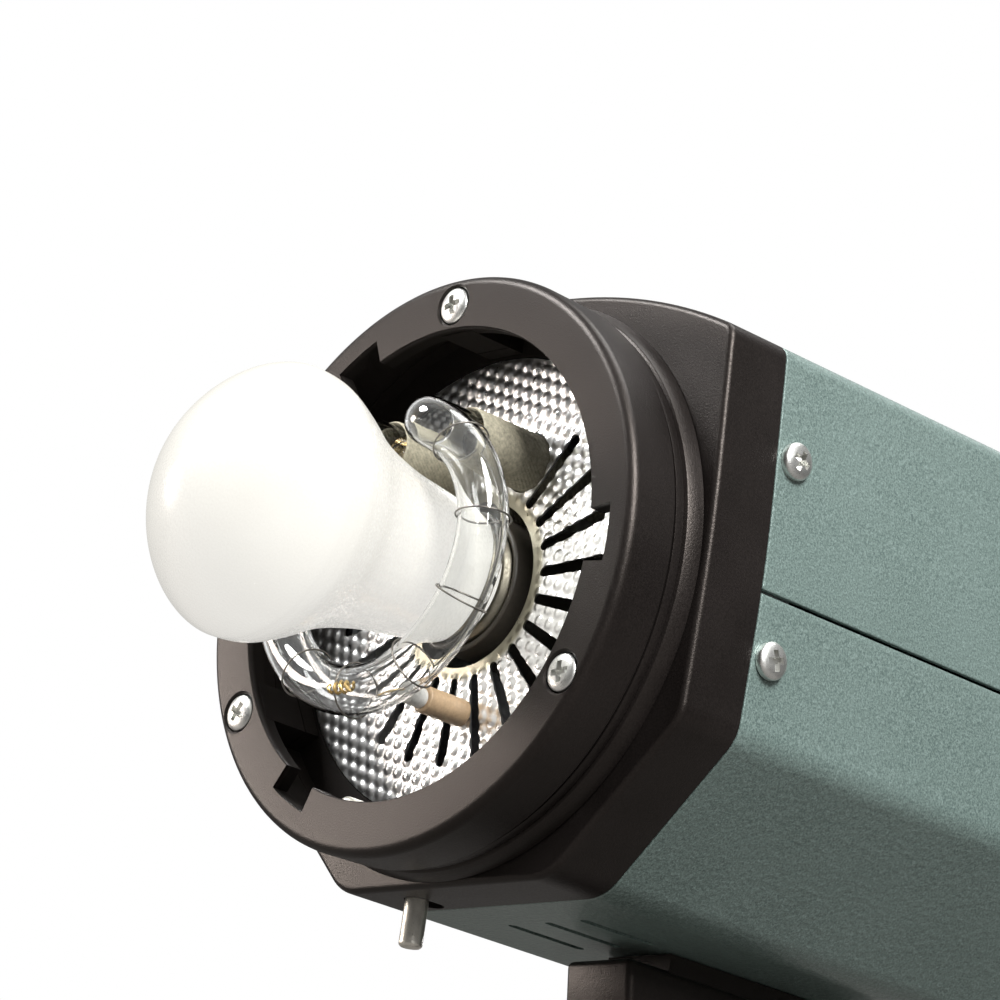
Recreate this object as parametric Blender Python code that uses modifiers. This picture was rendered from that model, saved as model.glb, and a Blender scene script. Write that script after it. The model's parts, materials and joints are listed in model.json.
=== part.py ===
# Studio flash head: bayonet front, ring flash tube, modelling lamp, sheet-metal body, tilting stand bracket.
# Metres, +Z up. The origin is the mouth of the stand socket; the lamp looks along -Y.

import math

import bmesh
import bpy
from mathutils import Matrix, Vector

MM = 0.001

# Clearances
FIT_GAP = 0.3 * MM
BREAK = 0.5 * MM
CUT_DEPTH = 2 * MM
SCREW_GAP = 0.3 * MM

# Where the head sits over the stand socket
PIVOT_HEIGHT = 84 * MM
HEAD_ABOVE_PIVOT = 92 * MM
PIVOT_BEHIND_FACE = 105 * MM

# Bayonet ring. Depths run rearwards from its front face.
APERTURE_RADIUS = 50.6 * MM
RING_RADIUS = 62.1 * MM
RING_BACK_RADIUS = 61.6 * MM
RING_DEPTH = 12.8 * MM
RING_RIM_ROUND = 2.2 * MM
RING_BACK_CHAMFER = (0.55 * MM, 0.6 * MM)
RING_PLATE = 4.0 * MM
CHANNEL_RADIUS = 56.6 * MM
RING_STEPS = 40
NOTCH_RADIUS = 56.25 * MM
NOTCH_HALF_ANGLE = 6.2
NOTCH_ANGLES = (90, 210, 330)
STOP_WIDTH = 9.6 * MM
STOP_FACE = 50.3 * MM

# Ring screws
RING_SCREW_ANGLES = (0, 120, 240)
RING_SCREW_FROM_EDGE = 6.1 * MM
RING_SCREW_HEAD_RADIUS = 3.95 * MM
RING_SCREW_HEAD_HEIGHT = 2.0 * MM
RING_SCREW_SHANK_RADIUS = 1.9 * MM
RING_SCREW_LENGTH = 12 * MM
RING_SCREW_SINK = 1.8 * MM
RING_SCREW_RIM_GAP = 0.3 * MM

# Cross recess of every screw, as shares of its head's radius
RECESS_LENGTH = 1.05
RECESS_WIDTH = 0.26

# Collar between ring and bezel
COLLAR_RADIUS = 60.8 * MM
COLLAR_FLARE_RADIUS = 62.4 * MM
COLLAR_FLARE_DEPTH = 3.8 * MM
COLLAR_GROOVE = 0.7 * MM
COLLAR_DEPTH = 7.3 * MM
CHANNEL_FLOOR = 3.4 * MM
PAN_LEDGE_RADIUS = 46 * MM

# Body section: corner x, corner z, corner radius. The right half, from the bottom up.
SECTION_CORNERS = (
    (31.1 * MM, -63.2 * MM, 12 * MM),
    (62.6 * MM, -32.5 * MM, 8 * MM),
    (64.3 * MM, 4.0 * MM, 350 * MM),
    (62.3 * MM, 49.4 * MM, 4 * MM),
)
SECTION_PEAK = (77.4 * MM, 145 * MM)
CORNER_STEPS = 2
PEAK_STEPS = 8
SHARPEST_CORNER = 0.2 * MM
FILLET_SHARE = 0.98

# Front bezel
BEZEL_LENGTH = 16.2 * MM
BEZEL_WALL = 3.0 * MM
BEZEL_EDGE_ROUND = 1.4 * MM
BEZEL_BORE_RADIUS = 45.5 * MM

# Body shells
SHEET = 1.5 * MM
BODY_LENGTH = 233 * MM
SEAM_HEIGHT = -2.0 * MM
SEAM_GAP = 0.4 * MM

# Louvres under the chassis
LOUVRE_X = (-11.0 * MM, 0.0, 10.5 * MM)
LOUVRE_START = 52 * MM
LOUVRE_LENGTH = 19.6 * MM
LOUVRE_WIDTH = 2.2 * MM

# Side screws: upper row in the cover, lower row in the chassis
COVER_SCREW_HEIGHT = 26.7 * MM
CHASSIS_SCREW_HEIGHT = -15.3 * MM
SIDE_SCREW_FROM_EDGE = 4.8 * MM
SIDE_SCREW_HEAD_RADIUS = 3.9 * MM
SIDE_SCREW_HEAD_HEIGHT = 2.2 * MM
SIDE_SCREW_SHANK_RADIUS = 1.9 * MM
SIDE_SCREW_LENGTH = 7 * MM

# Front frame behind the bezel
FRAME_RIM_DEPTH = 9.8 * MM
FRAME_WALL = 2.2 * MM

# Reflector pan
PAN_DEPTH = 16.8 * MM
PAN_RADIUS = 49.4 * MM
PAN_SHEET = 0.8 * MM
PAN_HOLE_RADIUS = 17.9 * MM
PAN_SLEEVE_GAP = 0.3 * MM
PAN_SLOT_COUNT = 23
PAN_SLOT_FIRST = 41.5
PAN_SLOT_CLEAR_OF_LEGS = 34
PAN_SLOT_INNER = 21.3 * MM
PAN_SLOT_OUTER = 37.5 * MM
PAN_SLOT_INNER_WIDTH = 1.9 * MM
PAN_SLOT_OUTER_WIDTH = 2.6 * MM

# Flash tube
TUBE_PLANE = -9.2 * MM
TUBE_RING_RADIUS = 30.1 * MM
TUBE_RADIUS = 5.15 * MM
TUBE_TOP_SWEEP = 8.1 * MM
TUBE_LEG_X = 11.6 * MM
TUBE_LEG_Z = 25.2 * MM
TUBE_LEG_EASE = 60
TUBE_BEND_RADIUS = 5.7 * MM
TUBE_LEG_END = 20 * MM
TUBE_RING_STEPS = 28
TUBE_BEND_STEPS = 6

# Tube caps, sleeves and sockets
TUBE_CAP_LENGTH = 8 * MM
TUBE_PIN_RADIUS = 1.6 * MM
TUBE_PIN_LENGTH = 9 * MM
SLEEVE_RADIUS = 6.2 * MM
SLEEVE_WALL = 0.7 * MM
SLEEVE_FRONT = -1.7 * MM
SLEEVE_EDGE = 0.3 * MM
SOCKET_RADIUS = 5.2 * MM

# Trigger wire, its lead and the ceramic post
WIRE_RADIUS = 0.25 * MM
WIRE_CLEARANCE = 0.75 * MM
WIRE_TURNS = 9
WIRE_FIRST_ANGLE = 50
WIRE_LAST_ANGLE = 310
WIRE_TURN_POINTS = 8
WIRE_TURN_ADVANCE = 1.4 * MM
WIRE_LEAST_GAP = 0.4 * MM
POST_X = 3.1 * MM
POST_Z = -28 * MM
POST_RADIUS = 3.7 * MM
POST_FRONT = 1.1 * MM
# Lead from the post's front: steps in x and z, and levels over the tube's back
LEAD_OUT = 1.2 * MM
LEAD_BEND = (-1.2 * MM, 0.8 * MM, -0.6 * MM)
LEAD_TIP = (-4.5 * MM, 0.2 * MM, -1.6 * MM)

# Modelling lamp
LAMP_TIP = -63 * MM
LAMP_WIDEST = -42 * MM
LAMP_RADIUS = 28.6 * MM
LAMP_DOME_POWER = 1.25
LAMP_DOME_STEPS = 5
LAMP_NECK = (
    (-42.0 * MM, 28.6 * MM),
    (-39.0 * MM, 28.45 * MM),
    (-36.0 * MM, 27.8 * MM),
    (-31.0 * MM, 25.5 * MM),
    (-25.2 * MM, 22.3 * MM),
    (-20.5 * MM, 20.3 * MM),
    (-15.0 * MM, 18.6 * MM),
    (-8.4 * MM, 17.1 * MM),
    (1.0 * MM, 15.8 * MM),
    (11.7 * MM, 14.0 * MM),
)
LAMP_CAP_RADIUS = 13.3 * MM
LAMP_CAP_THREAD = 0.9 * MM
LAMP_CAP_PITCH = 3.63 * MM
LAMP_CAP_TURNS = 5
LAMP_CAP_LENGTH = 26 * MM
LAMP_CAP_PLAIN = 1.5 * MM
LAMP_CAP_TAPER = 2.5 * MM
LAMP_CONTACT_RADII = (5.5 * MM, 4.5 * MM)

# Lamp holder
HOLDER_RADIUS = 15.2 * MM
HOLDER_BORE = 13.8 * MM
HOLDER_FRONT = 14.6 * MM
HOLDER_FLANGE_RADIUS = 19 * MM
HOLDER_FLANGE = 3 * MM
HOLDER_FLOOR = 2.6 * MM
CONTACT_RADIUS = 3 * MM

# Bayonet latch: a rod in the lug channel with its release pin under the bezel
LATCH_X = -16 * MM
LATCH_Z = -50 * MM
LATCH_RADIUS = 3.0 * MM
LATCH_CHAMFER = 0.8 * MM
LATCH_FRONT = 5.0 * MM
LATCH_TRAVEL = 4.0 * MM
LATCH_PIN_DEPTH = 28.8 * MM
LATCH_PIN_RADIUS = 2.5 * MM
LATCH_PIN_BELOW = 73.2 * MM
LATCH_SHOULDER_RADIUS = 4.8 * MM
LATCH_SHOULDER = 1.0 * MM
SPRING_WIRE = 0.35 * MM
SPRING_CLEARANCE = 0.35 * MM
SPRING_TURNS = 5
SPRING_TURN_POINTS = 8

# Trigger coil on the back of the front frame
COIL_SIZE = (24 * MM, 16 * MM, 20 * MM)
COIL_X = 34 * MM
COIL_Z = 8 * MM

# Flash capacitors and their bracket
CAN_RADIUS = 24 * MM
CAN_X = 25.6 * MM
CAN_Z = -31.5 * MM
CAN_START = 78 * MM
CAN_LENGTH = 100 * MM
CAN_EDGE = 1 * MM
TERMINAL_RADIUS = 4 * MM
TERMINAL_LENGTH = 5 * MM
CAN_BRACKET_DEPTH = 112 * MM
CAN_BRACKET = 2 * MM
CAN_BRACKET_TOP = -6 * MM

# Power board behind the capacitors
BOARD_SHEET = 1.6 * MM
BOARD_SIDE_GAP = 0.5 * MM
BOARD_LEAST_STEP = 1 * MM
POWER_BOARD_TOP = 40 * MM
# Parts on the power board: centre x, centre z, width, depth, height
BOARD_BLOCKS = (
    (-34 * MM, -20 * MM, 26 * MM, 24 * MM, 22 * MM),
    (0, -24 * MM, 30 * MM, 18 * MM, 30 * MM),
    (32 * MM, -22 * MM, 22 * MM, 14 * MM, 26 * MM),
    (-40 * MM, 22 * MM, 14 * MM, 12 * MM, 20 * MM),
)
HEAT_SINK_WIDTH = 56 * MM
HEAT_SINK_HEIGHT = 30 * MM
HEAT_SINK_DEPTH = 20 * MM
HEAT_SINK_FINS = 6
HEAT_SINK_FIN = 2 * MM
HEAT_SINK_BASE = 4 * MM
HEAT_SINK_Z = 20 * MM
HEAT_SINK_X = 8 * MM

# Rear bezel and panel
REAR_BEZEL_LENGTH = 14 * MM
REAR_LEDGE = 4 * MM
REAR_WALL = 4 * MM
REAR_LEDGE_WIDTH = 4 * MM
PANEL_SHEET = 2.5 * MM

# Fan
FAN_SIZE = 60 * MM
FAN_DEPTH = 15 * MM
FAN_Z = 21 * MM
FAN_BORE = 28.5 * MM
FAN_HUB = 13 * MM
FAN_BLADES = 7
FAN_BLADE_TIP = 27.5 * MM
FAN_BLADE_PITCH = 32
FAN_STRUT = 2.5 * MM
FAN_STRUT_DEPTH = 2 * MM
FAN_STRUT_BACK = 0.4 * MM
FAN_MOTOR = 3 * MM
FAN_MOTOR_SHARE = 0.9
FAN_HUB_EDGE = 1 * MM
FAN_HUB_ROOM = 4 * MM
FAN_BLADE = (13 * MM, 1.2 * MM)
FAN_BLADE_ROOT = 0.8
GRILLE_SLOTS = 8
GRILLE_PITCH = 6 * MM
GRILLE_SLOT_WIDTH = 3.2 * MM
GRILLE_RADIUS = 26 * MM

# Rear controls: centre x, centre z in the panel
POWER_DIAL_AT = (-42 * MM, -15 * MM)
LAMP_DIAL_AT = (42 * MM, -15 * MM)
DIAL_RADIUS = 11.5 * MM
DIAL_HEIGHT = 14 * MM
DIAL_SHAFT_RADIUS = 3 * MM
DIAL_STAND = 0.8 * MM
DIAL_SKIRT = 3 * MM
DIAL_STEP = (1.6 * MM, 1.5 * MM)
DIAL_TAPER = 0.6 * MM
DIAL_TOP_EDGE = 1 * MM
DIAL_LINE = (1.4 * MM, 4 * MM)
DIAL_LINE_DEPTH = 0.8 * MM
MAINS_SWITCH_AT = (21 * MM, -45.5 * MM)
LAMP_SWITCH_AT = (21 * MM, -29 * MM)
ROCKER_LENGTH = 18 * MM
ROCKER_WIDTH = 11.5 * MM
ROCKER_RISE = 3.4 * MM
ROCKER_BELOW = 6 * MM
ROCKER_HOLLOW = 1.5 * MM
# Half lengths of a rocker at its foot, pin and face, as shares
ROCKER_SHARES = (0.8, 0.96, 0.9)
BUTTON_AT = (-17 * MM, -18 * MM)
BUTTON_RADIUS = 4.5 * MM
BUTTON_STAND = 3.8 * MM
BUTTON_EDGE = 0.6 * MM
BUTTON_STEM = 5 * MM
PHOTOCELL_AT = (-42 * MM, 30 * MM)
PHOTOCELL_RADIUS = 5 * MM
PHOTOCELL_RISE = 4 * MM
SYNC_SOCKET_AT = (2 * MM, -20 * MM)
SYNC_SOCKET_RADIUS = 5.5 * MM
SYNC_SOCKET_BORE = 3.4 * MM
SYNC_SOCKET_NUT = 1.4 * MM
SYNC_SOCKET_STAND = 1.6 * MM
SYNC_SOCKET_LENGTH = 9 * MM
INLET_AT = (-13 * MM, -44 * MM)
INLET_SIZE = (28 * MM, 20 * MM)
INLET_DEPTH = 20 * MM
INLET_FLANGE = 2 * MM
INLET_WALL = 2 * MM
INLET_WELL = 15 * MM
INLET_BLADE = (2 * MM, 14 * MM, 4 * MM)
INLET_BLADE_DEPTH = 8 * MM
INLET_BLADES_AT = ((-7 * MM, -2 * MM), (0, 3 * MM), (7 * MM, -2 * MM))
FUSE_AT = (-38 * MM, -34 * MM)
FUSE_RADIUS = 6.3 * MM
FUSE_CAP_HEIGHT = 6 * MM
FUSE_STEM_STEP = 1.5 * MM
FUSE_STEM = 10 * MM
FUSE_RIM = 0.8 * MM
FUSE_SLOT = (2.4 * MM, 1.6 * MM)

# Control board
CONTROL_BOARD_GAP = 14 * MM
CONTROL_BOARD_TOP = -10 * MM
CONTROL_BOARD_RISE = 4 * MM
CONTROL_BOARD_WINDOW = 1 * MM
BOARD_POST_RADIUS = 2.5 * MM
BOARD_POSTS_AT = ((-52 * MM, -20 * MM), (52 * MM, -24 * MM), (30 * MM, -12 * MM))

# Bracket lug under the chassis
LUG_WIDTH = 19.6 * MM
LUG_FRONT = 67 * MM
LUG_BACK = 143 * MM
LUG_TOP = -67 * MM
LUG_SHOULDER = -78 * MM
LUG_LEAN = 1.5 * MM
LUG_BACK_RISE = 5 * MM
LUG_PAD_INSET = 0.5 * MM
LUG_PAD_SINK = 3 * MM
LUG_BOSS_RADIUS = 14 * MM
LUG_EDGE_ROUND = 1.6 * MM
LUG_PAD_FRONT = 79 * MM
LUG_PAD_BACK = 135 * MM
LUG_BOLT_DEPTHS = (90 * MM, 125 * MM)
LUG_BOLT_RADIUS = 3.0 * MM
LUG_BOLT_HEAD_RADIUS = 5.2 * MM
LUG_BOLT_HEAD = 4.5 * MM
LUG_BOLT_REACH = 12 * MM

# Stand fork, washers, tilt bolt and handle
WASHER = 1.0 * MM
WASHER_RADIUS = 12 * MM
CHEEK = 7 * MM
CHEEK_RADIUS = 14 * MM
FORK_FLOOR = 20 * MM
TILT_BOLT_RADIUS = 4.0 * MM
TILT_BOLT_HEAD_RADIUS = 6.8 * MM
TILT_BOLT_HEAD = 5.5 * MM
TILT_BOLT_EDGE = 1 * MM
HANDLE_HUB_RADIUS = 10 * MM
HANDLE_HUB = 14 * MM
HANDLE_HUB_EDGE = 2 * MM
HANDLE_HUB_FLOOR = 4 * MM
HANDLE_ROOT = 3 * MM
HANDLE_LENGTH = 46 * MM
HANDLE_RADIUS = 5.0 * MM
HANDLE_LEAN = 10
COLUMN_RADIUS = 15 * MM
COLUMN_EDGE = 1 * MM
COLUMN_SINK = 2 * MM
CHEEK_EDGE_ROUND = 1.2 * MM
CHEEK_FOOT = (2 * MM, 9 * MM)
SOCKET_BORE = 8.1 * MM
SOCKET_DEPTH = 56 * MM
SOCKET_LEAD_IN = 1.2 * MM
KNOB_HEIGHT = 28 * MM
KNOB_RADIUS = 12.5 * MM
KNOB_LENGTH = 16 * MM
KNOB_NECK = 3 * MM
KNOB_SCREW_RADIUS = 3.9 * MM
KNOB_FLUTES = 6
KNOB_FLUTE_RADIUS = 3.4 * MM
KNOB_NECK_WALL = 2.5 * MM
KNOB_INNER_EDGE = 1 * MM
KNOB_OUTER_EDGE = 1.5 * MM

# Levels that follow from the sizes above
RING_SCREW_PITCH_RADIUS = RING_RADIUS - RING_SCREW_FROM_EDGE
COLLAR_FRONT = RING_DEPTH + FIT_GAP
BEZEL_FRONT = COLLAR_FRONT + COLLAR_DEPTH
BEZEL_BACK = BEZEL_FRONT + BEZEL_LENGTH
BODY_FRONT = BEZEL_BACK + FIT_GAP
BODY_BACK = BODY_FRONT + BODY_LENGTH
FRAME_PLATE = BODY_FRONT + FRAME_RIM_DEPTH - FRAME_WALL
FRAME_BACK = BODY_FRONT + FRAME_RIM_DEPTH
REAR_FRONT = BODY_BACK + FIT_GAP
PANEL_FRONT = REAR_FRONT + REAR_LEDGE + FIT_GAP
PANEL_BACK = PANEL_FRONT + PANEL_SHEET
BOARD_FRONT = CAN_START + CAN_LENGTH + TERMINAL_LENGTH + FIT_GAP
CHASSIS_FLOOR = SECTION_CORNERS[0][1] + SHEET
SECTION_BOTTOM = SECTION_CORNERS[0][1]

# Object rotations. A turned profile's axis and a plate's thickness are their local Z.
TURN_TO_REAR = (math.radians(-90), 0, 0)
FACE_FRONT = (math.radians(90), 0, 0)
FACE_SIDE = (math.radians(90), 0, math.radians(90))
POINT_RIGHT = (0, math.radians(90), 0)
POINT_LEFT = (0, math.radians(-90), 0)
POINT_UP = (0, 0, 0)


# Scene and materials

def clear_scene():
    for item in list(bpy.data.objects):
        bpy.data.objects.remove(item, do_unlink=True)


def new_collection(name):
    collection = bpy.data.collections.new(name)
    bpy.context.scene.collection.children.link(collection)
    return collection


def new_material(name, colour, roughness, metallic=0.0, alpha=1.0):
    material = bpy.data.materials.new(name)
    material.use_nodes = True
    shader = material.node_tree.nodes["Principled BSDF"]
    shader.inputs["Base Color"].default_value = (*colour, 1.0)
    shader.inputs["Roughness"].default_value = roughness
    shader.inputs["Metallic"].default_value = metallic
    shader.inputs["Alpha"].default_value = alpha
    material.diffuse_color = (*colour, alpha)
    return material


def new_empty(name, location, parent=None):
    empty = bpy.data.objects.new(name, None)
    empty.empty_display_size = 10 * MM
    empty.location = location
    empty.parent = parent
    parts.objects.link(empty)
    return empty


# Making objects

def add_object(name, data, material, parent, location, rotation):
    item = bpy.data.objects.new(name, data)
    item.parent = parent
    item.location = location
    item.rotation_euler = rotation
    if material:
        data.materials.append(material)
        parts.objects.link(item)
    else:
        helpers.objects.link(item)
        item.hide_render = True
        item.display_type = "WIRE"
    return item


def mesh_from(shape):
    bmesh.ops.recalc_face_normals(shape, faces=shape.faces)
    mesh = bpy.data.meshes.new("shape")
    shape.to_mesh(mesh)
    shape.free()
    return mesh


def box(name, size, material=None, parent=None, location=(0, 0, 0), rotation=POINT_UP):
    shape = bmesh.new()
    bmesh.ops.create_cube(shape, size=1.0, matrix=Matrix.Diagonal((*size, 1.0)))
    return add_object(name, mesh_from(shape), material, parent, location, rotation)


def rod(name, radius, length, material=None, parent=None, location=(0, 0, 0), rotation=POINT_UP, sides=24):
    """A straight round bar whose near end is at its location."""
    shape = bmesh.new()
    bmesh.ops.create_cone(
        shape,
        cap_ends=True,
        segments=sides,
        radius1=radius,
        radius2=radius,
        depth=length,
        matrix=Matrix.Translation((0, 0, length / 2)),
    )
    return add_object(name, mesh_from(shape), material, parent, location, rotation)


def turned(name, profile, steps, material=None, parent=None, location=(0, 0, 0), rotation=TURN_TO_REAR):
    """A profile of (radius, height) points swept round local Z; closed, or with both ends on the axis."""
    area = 0.0
    for (r0, h0), (r1, h1) in zip(profile, profile[1:] + profile[:1]):
        area += r0 * h1 - r1 * h0
    points = list(reversed(profile)) if area > 0 else list(profile)
    mesh = bpy.data.meshes.new(name)
    edges = [(i, i + 1) for i in range(len(points) - 1)]
    if min(radius for radius, height in points) > 0:
        edges.append((len(points) - 1, 0))
    mesh.from_pydata([(radius, 0, height) for radius, height in points], edges, [])
    item = add_object(name, mesh, material, parent, location, rotation)
    sweep = item.modifiers.new("sweep", "SCREW")
    sweep.steps = steps
    sweep.render_steps = steps
    sweep.use_merge_vertices = True
    sweep.merge_threshold = 0.00001
    return item


def plate(name, outlines, thickness, material=None, parent=None, location=(0, 0, 0), rotation=POINT_UP):
    """Flat outlines, the later ones being holes, extruded evenly about the location along local Z."""
    curve = bpy.data.curves.new(name, "CURVE")
    curve.dimensions = "2D"
    curve.fill_mode = "BOTH"
    curve.extrude = thickness / 2
    for outline in outlines:
        spline = curve.splines.new("POLY")
        spline.points.add(len(outline) - 1)
        for point, (u, v) in zip(spline.points, outline):
            point.co = (u, v, 0, 1)
        spline.use_cyclic_u = True
    mesh = mesh_of_curve(curve)
    if len(outlines) == 1:
        merge_flat_faces(mesh)
    return add_object(name, mesh, material, parent, location, rotation)


def merge_flat_faces(mesh):
    shape = bmesh.new()
    shape.from_mesh(mesh)
    bmesh.ops.dissolve_limit(shape, angle_limit=0.001, verts=shape.verts, edges=shape.edges)
    shape.to_mesh(mesh)
    shape.free()


def tube(name, points, radius, roundness, material=None, parent=None):
    """A round tube or wire along the points."""
    curve = bpy.data.curves.new(name, "CURVE")
    curve.dimensions = "3D"
    curve.bevel_depth = radius
    curve.bevel_resolution = roundness
    curve.use_fill_caps = True
    spline = curve.splines.new("POLY")
    spline.points.add(len(points) - 1)
    for point, place in zip(spline.points, points):
        point.co = (*place, 1)
    return add_object(name, mesh_of_curve(curve), material, parent, (0, 0, 0), (0, 0, 0))


def mesh_of_curve(curve):
    guide = bpy.data.objects.new("guide", curve)
    bpy.context.scene.collection.objects.link(guide)
    graph = bpy.context.evaluated_depsgraph_get()
    mesh = bpy.data.meshes.new_from_object(guide.evaluated_get(graph))
    bpy.data.objects.remove(guide)
    bpy.data.curves.remove(curve)
    shape = bmesh.new()
    shape.from_mesh(mesh)
    bpy.data.meshes.remove(mesh)
    bmesh.ops.remove_doubles(shape, verts=shape.verts, dist=0.000001)
    return mesh_from(shape)


def boolean(piece, others, operation):
    for other in others:
        step = piece.modifiers.new(operation.lower(), "BOOLEAN")
        step.operation = operation
        step.object = other


def cut(piece, *others):
    boolean(piece, others, "DIFFERENCE")


def join(piece, *others):
    boolean(piece, others, "UNION")


def round_edges(piece, width, segments=2, angle=40):
    rounding = piece.modifiers.new("round", "BEVEL")
    rounding.width = width
    rounding.segments = segments
    rounding.limit_method = "ANGLE"
    rounding.angle_limit = math.radians(angle)
    return rounding


# Outlines

def circle(radius, steps=24, centre=(0, 0)):
    turn = 2 * math.pi / steps
    return [
        (centre[0] + radius * math.cos(i * turn), centre[1] + radius * math.sin(i * turn))
        for i in range(steps)
    ]


def rectangle(width, height, centre=(0, 0)):
    w, h = width / 2, height / 2
    return [(centre[0] + u, centre[1] + v) for u, v in ((-w, -h), (w, -h), (w, h), (-w, h))]


def slot_outline(start, end, start_width, end_width, steps=4):
    """A slot with round ends between two points in the plane."""
    first, last = Vector(start), Vector(end)
    along = (last - first).normalized()
    across = Vector((-along.y, along.x))
    points = []
    for centre, width, side in ((last, end_width, 1), (first, start_width, -1)):
        for i in range(steps + 1):
            turn = math.pi * i / steps
            offset = side * (along * math.sin(turn) - across * math.cos(turn))
            points.append(tuple(centre + offset * width / 2))
    return points


def rounded_outline(corners, inset=0.0):
    """Corner points with radii, counter-clockwise, each edge moved in by the inset."""
    count = len(corners)
    places = [Vector(corner[:2]) for corner in corners]
    heading = [(places[(i + 1) % count] - places[i]).normalized() for i in range(count)]
    inward = [Vector((-along.y, along.x)) for along in heading]
    points, turns, reaches = [], [], []
    for i in range(count):
        both = inward[i - 1] + inward[i]
        points.append(places[i] + both * inset / (1 + inward[i - 1].dot(inward[i])))
        turns.append(-heading[i - 1].angle_signed(heading[i]))
        radius = max(corners[i][2] - math.copysign(inset, turns[i]), SHARPEST_CORNER)
        reaches.append(radius * math.tan(abs(turns[i]) / 2))
    outline = []
    for i in range(count):
        room = min(
            (points[i] - points[i - 1]).length / (reaches[i - 1] + reaches[i]),
            (points[(i + 1) % count] - points[i]).length / (reaches[i] + reaches[(i + 1) % count]),
        )
        reach = reaches[i] * min(1.0, FILLET_SHARE * room)
        radius = reach / math.tan(abs(turns[i]) / 2)
        start = points[i] - heading[i - 1] * reach
        centre = start + inward[i - 1] * math.copysign(radius, turns[i])
        steps = corners[i][3]
        for k in range(steps + 1):
            spin = Matrix.Rotation(turns[i] * k / steps, 2)
            outline.append(tuple(centre + spin @ (start - centre)))
    return outline


def body_corners():
    right = [(x, z, radius, CORNER_STEPS) for x, z, radius in SECTION_CORNERS]
    peak, peak_radius = SECTION_PEAK
    left = [(-x, z, radius, steps) for x, z, radius, steps in reversed(right)]
    return right + [(0.0, peak, peak_radius, PEAK_STEPS)] + left


def body_outline(inset=0.0):
    return rounded_outline(body_corners(), inset)


def side_x(height, inset=0.0):
    """Where the body's right side stands at a height."""
    outline = body_outline(inset)
    for (x0, z0), (x1, z1) in zip(outline, outline[1:]):
        if x0 > 0 and x1 > 0 and z0 <= height < z1:
            return x0 + (x1 - x0) * (height - z0) / (z1 - z0)
    return 0.0


def clipped_outline(height, above):
    """The open stretch of the body section above or below a height, from the right end to the left."""
    outline = body_outline()
    sign = 1 if above else -1
    crossings, kept = [], []
    count = len(outline)
    for i in range(count):
        here, after = Vector(outline[i]), Vector(outline[(i + 1) % count])
        if sign * (here.y - height) > 0:
            kept.append((i, here))
        if (here.y - height) * (after.y - height) < 0:
            share = (height - here.y) / (after.y - here.y)
            crossings.append((i + 0.5, here.lerp(after, share)))
    start = next(c for c in crossings if sign * c[1].x > 0)
    end = next(c for c in crossings if sign * c[1].x < 0)
    ordered = sorted(kept, key=lambda item: (item[0] - start[0]) % count)
    return [start[1]] + [point for index, point in ordered] + [end[1]]


def ring_point(radius, angle):
    """A point at a clock angle from the top, seen from the front."""
    turn = math.radians(angle)
    return (radius * math.sin(turn), radius * math.cos(turn))


# Fasteners

def cross_screw(name, head_radius, head_height, shank_radius, length, parent, location, rotation):
    """A raised round head over a plain shank; local Z points out of the head, from under it."""
    profile = [
        (0, head_height),
        (head_radius * 0.62, head_height * 0.85),
        (head_radius, head_height * 0.3),
        (head_radius, 0),
        (shank_radius, 0),
        (shank_radius, -length),
        (0, -length),
    ]
    screw = turned(name, profile, 10, zinc, parent, location, rotation)
    long, short = head_radius * RECESS_LENGTH, head_radius * RECESS_WIDTH
    for number, size in enumerate(((long, short), (short, long)), 1):
        recess = box(
            f"{name}_recess_{number}", (*size, head_height), parent=screw, location=(0, 0, head_height)
        )
        cut(screw, recess)


def round_hole(name, radius, length, parent, location, rotation=FACE_FRONT, sides=20):
    """A cutter that runs the same way on both sides of its location."""
    shape = bmesh.new()
    bmesh.ops.create_cone(shape, cap_ends=True, segments=sides, radius1=radius, radius2=radius, depth=length)
    return add_object(name, mesh_from(shape), None, parent, location, rotation)


# Bayonet front

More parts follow.
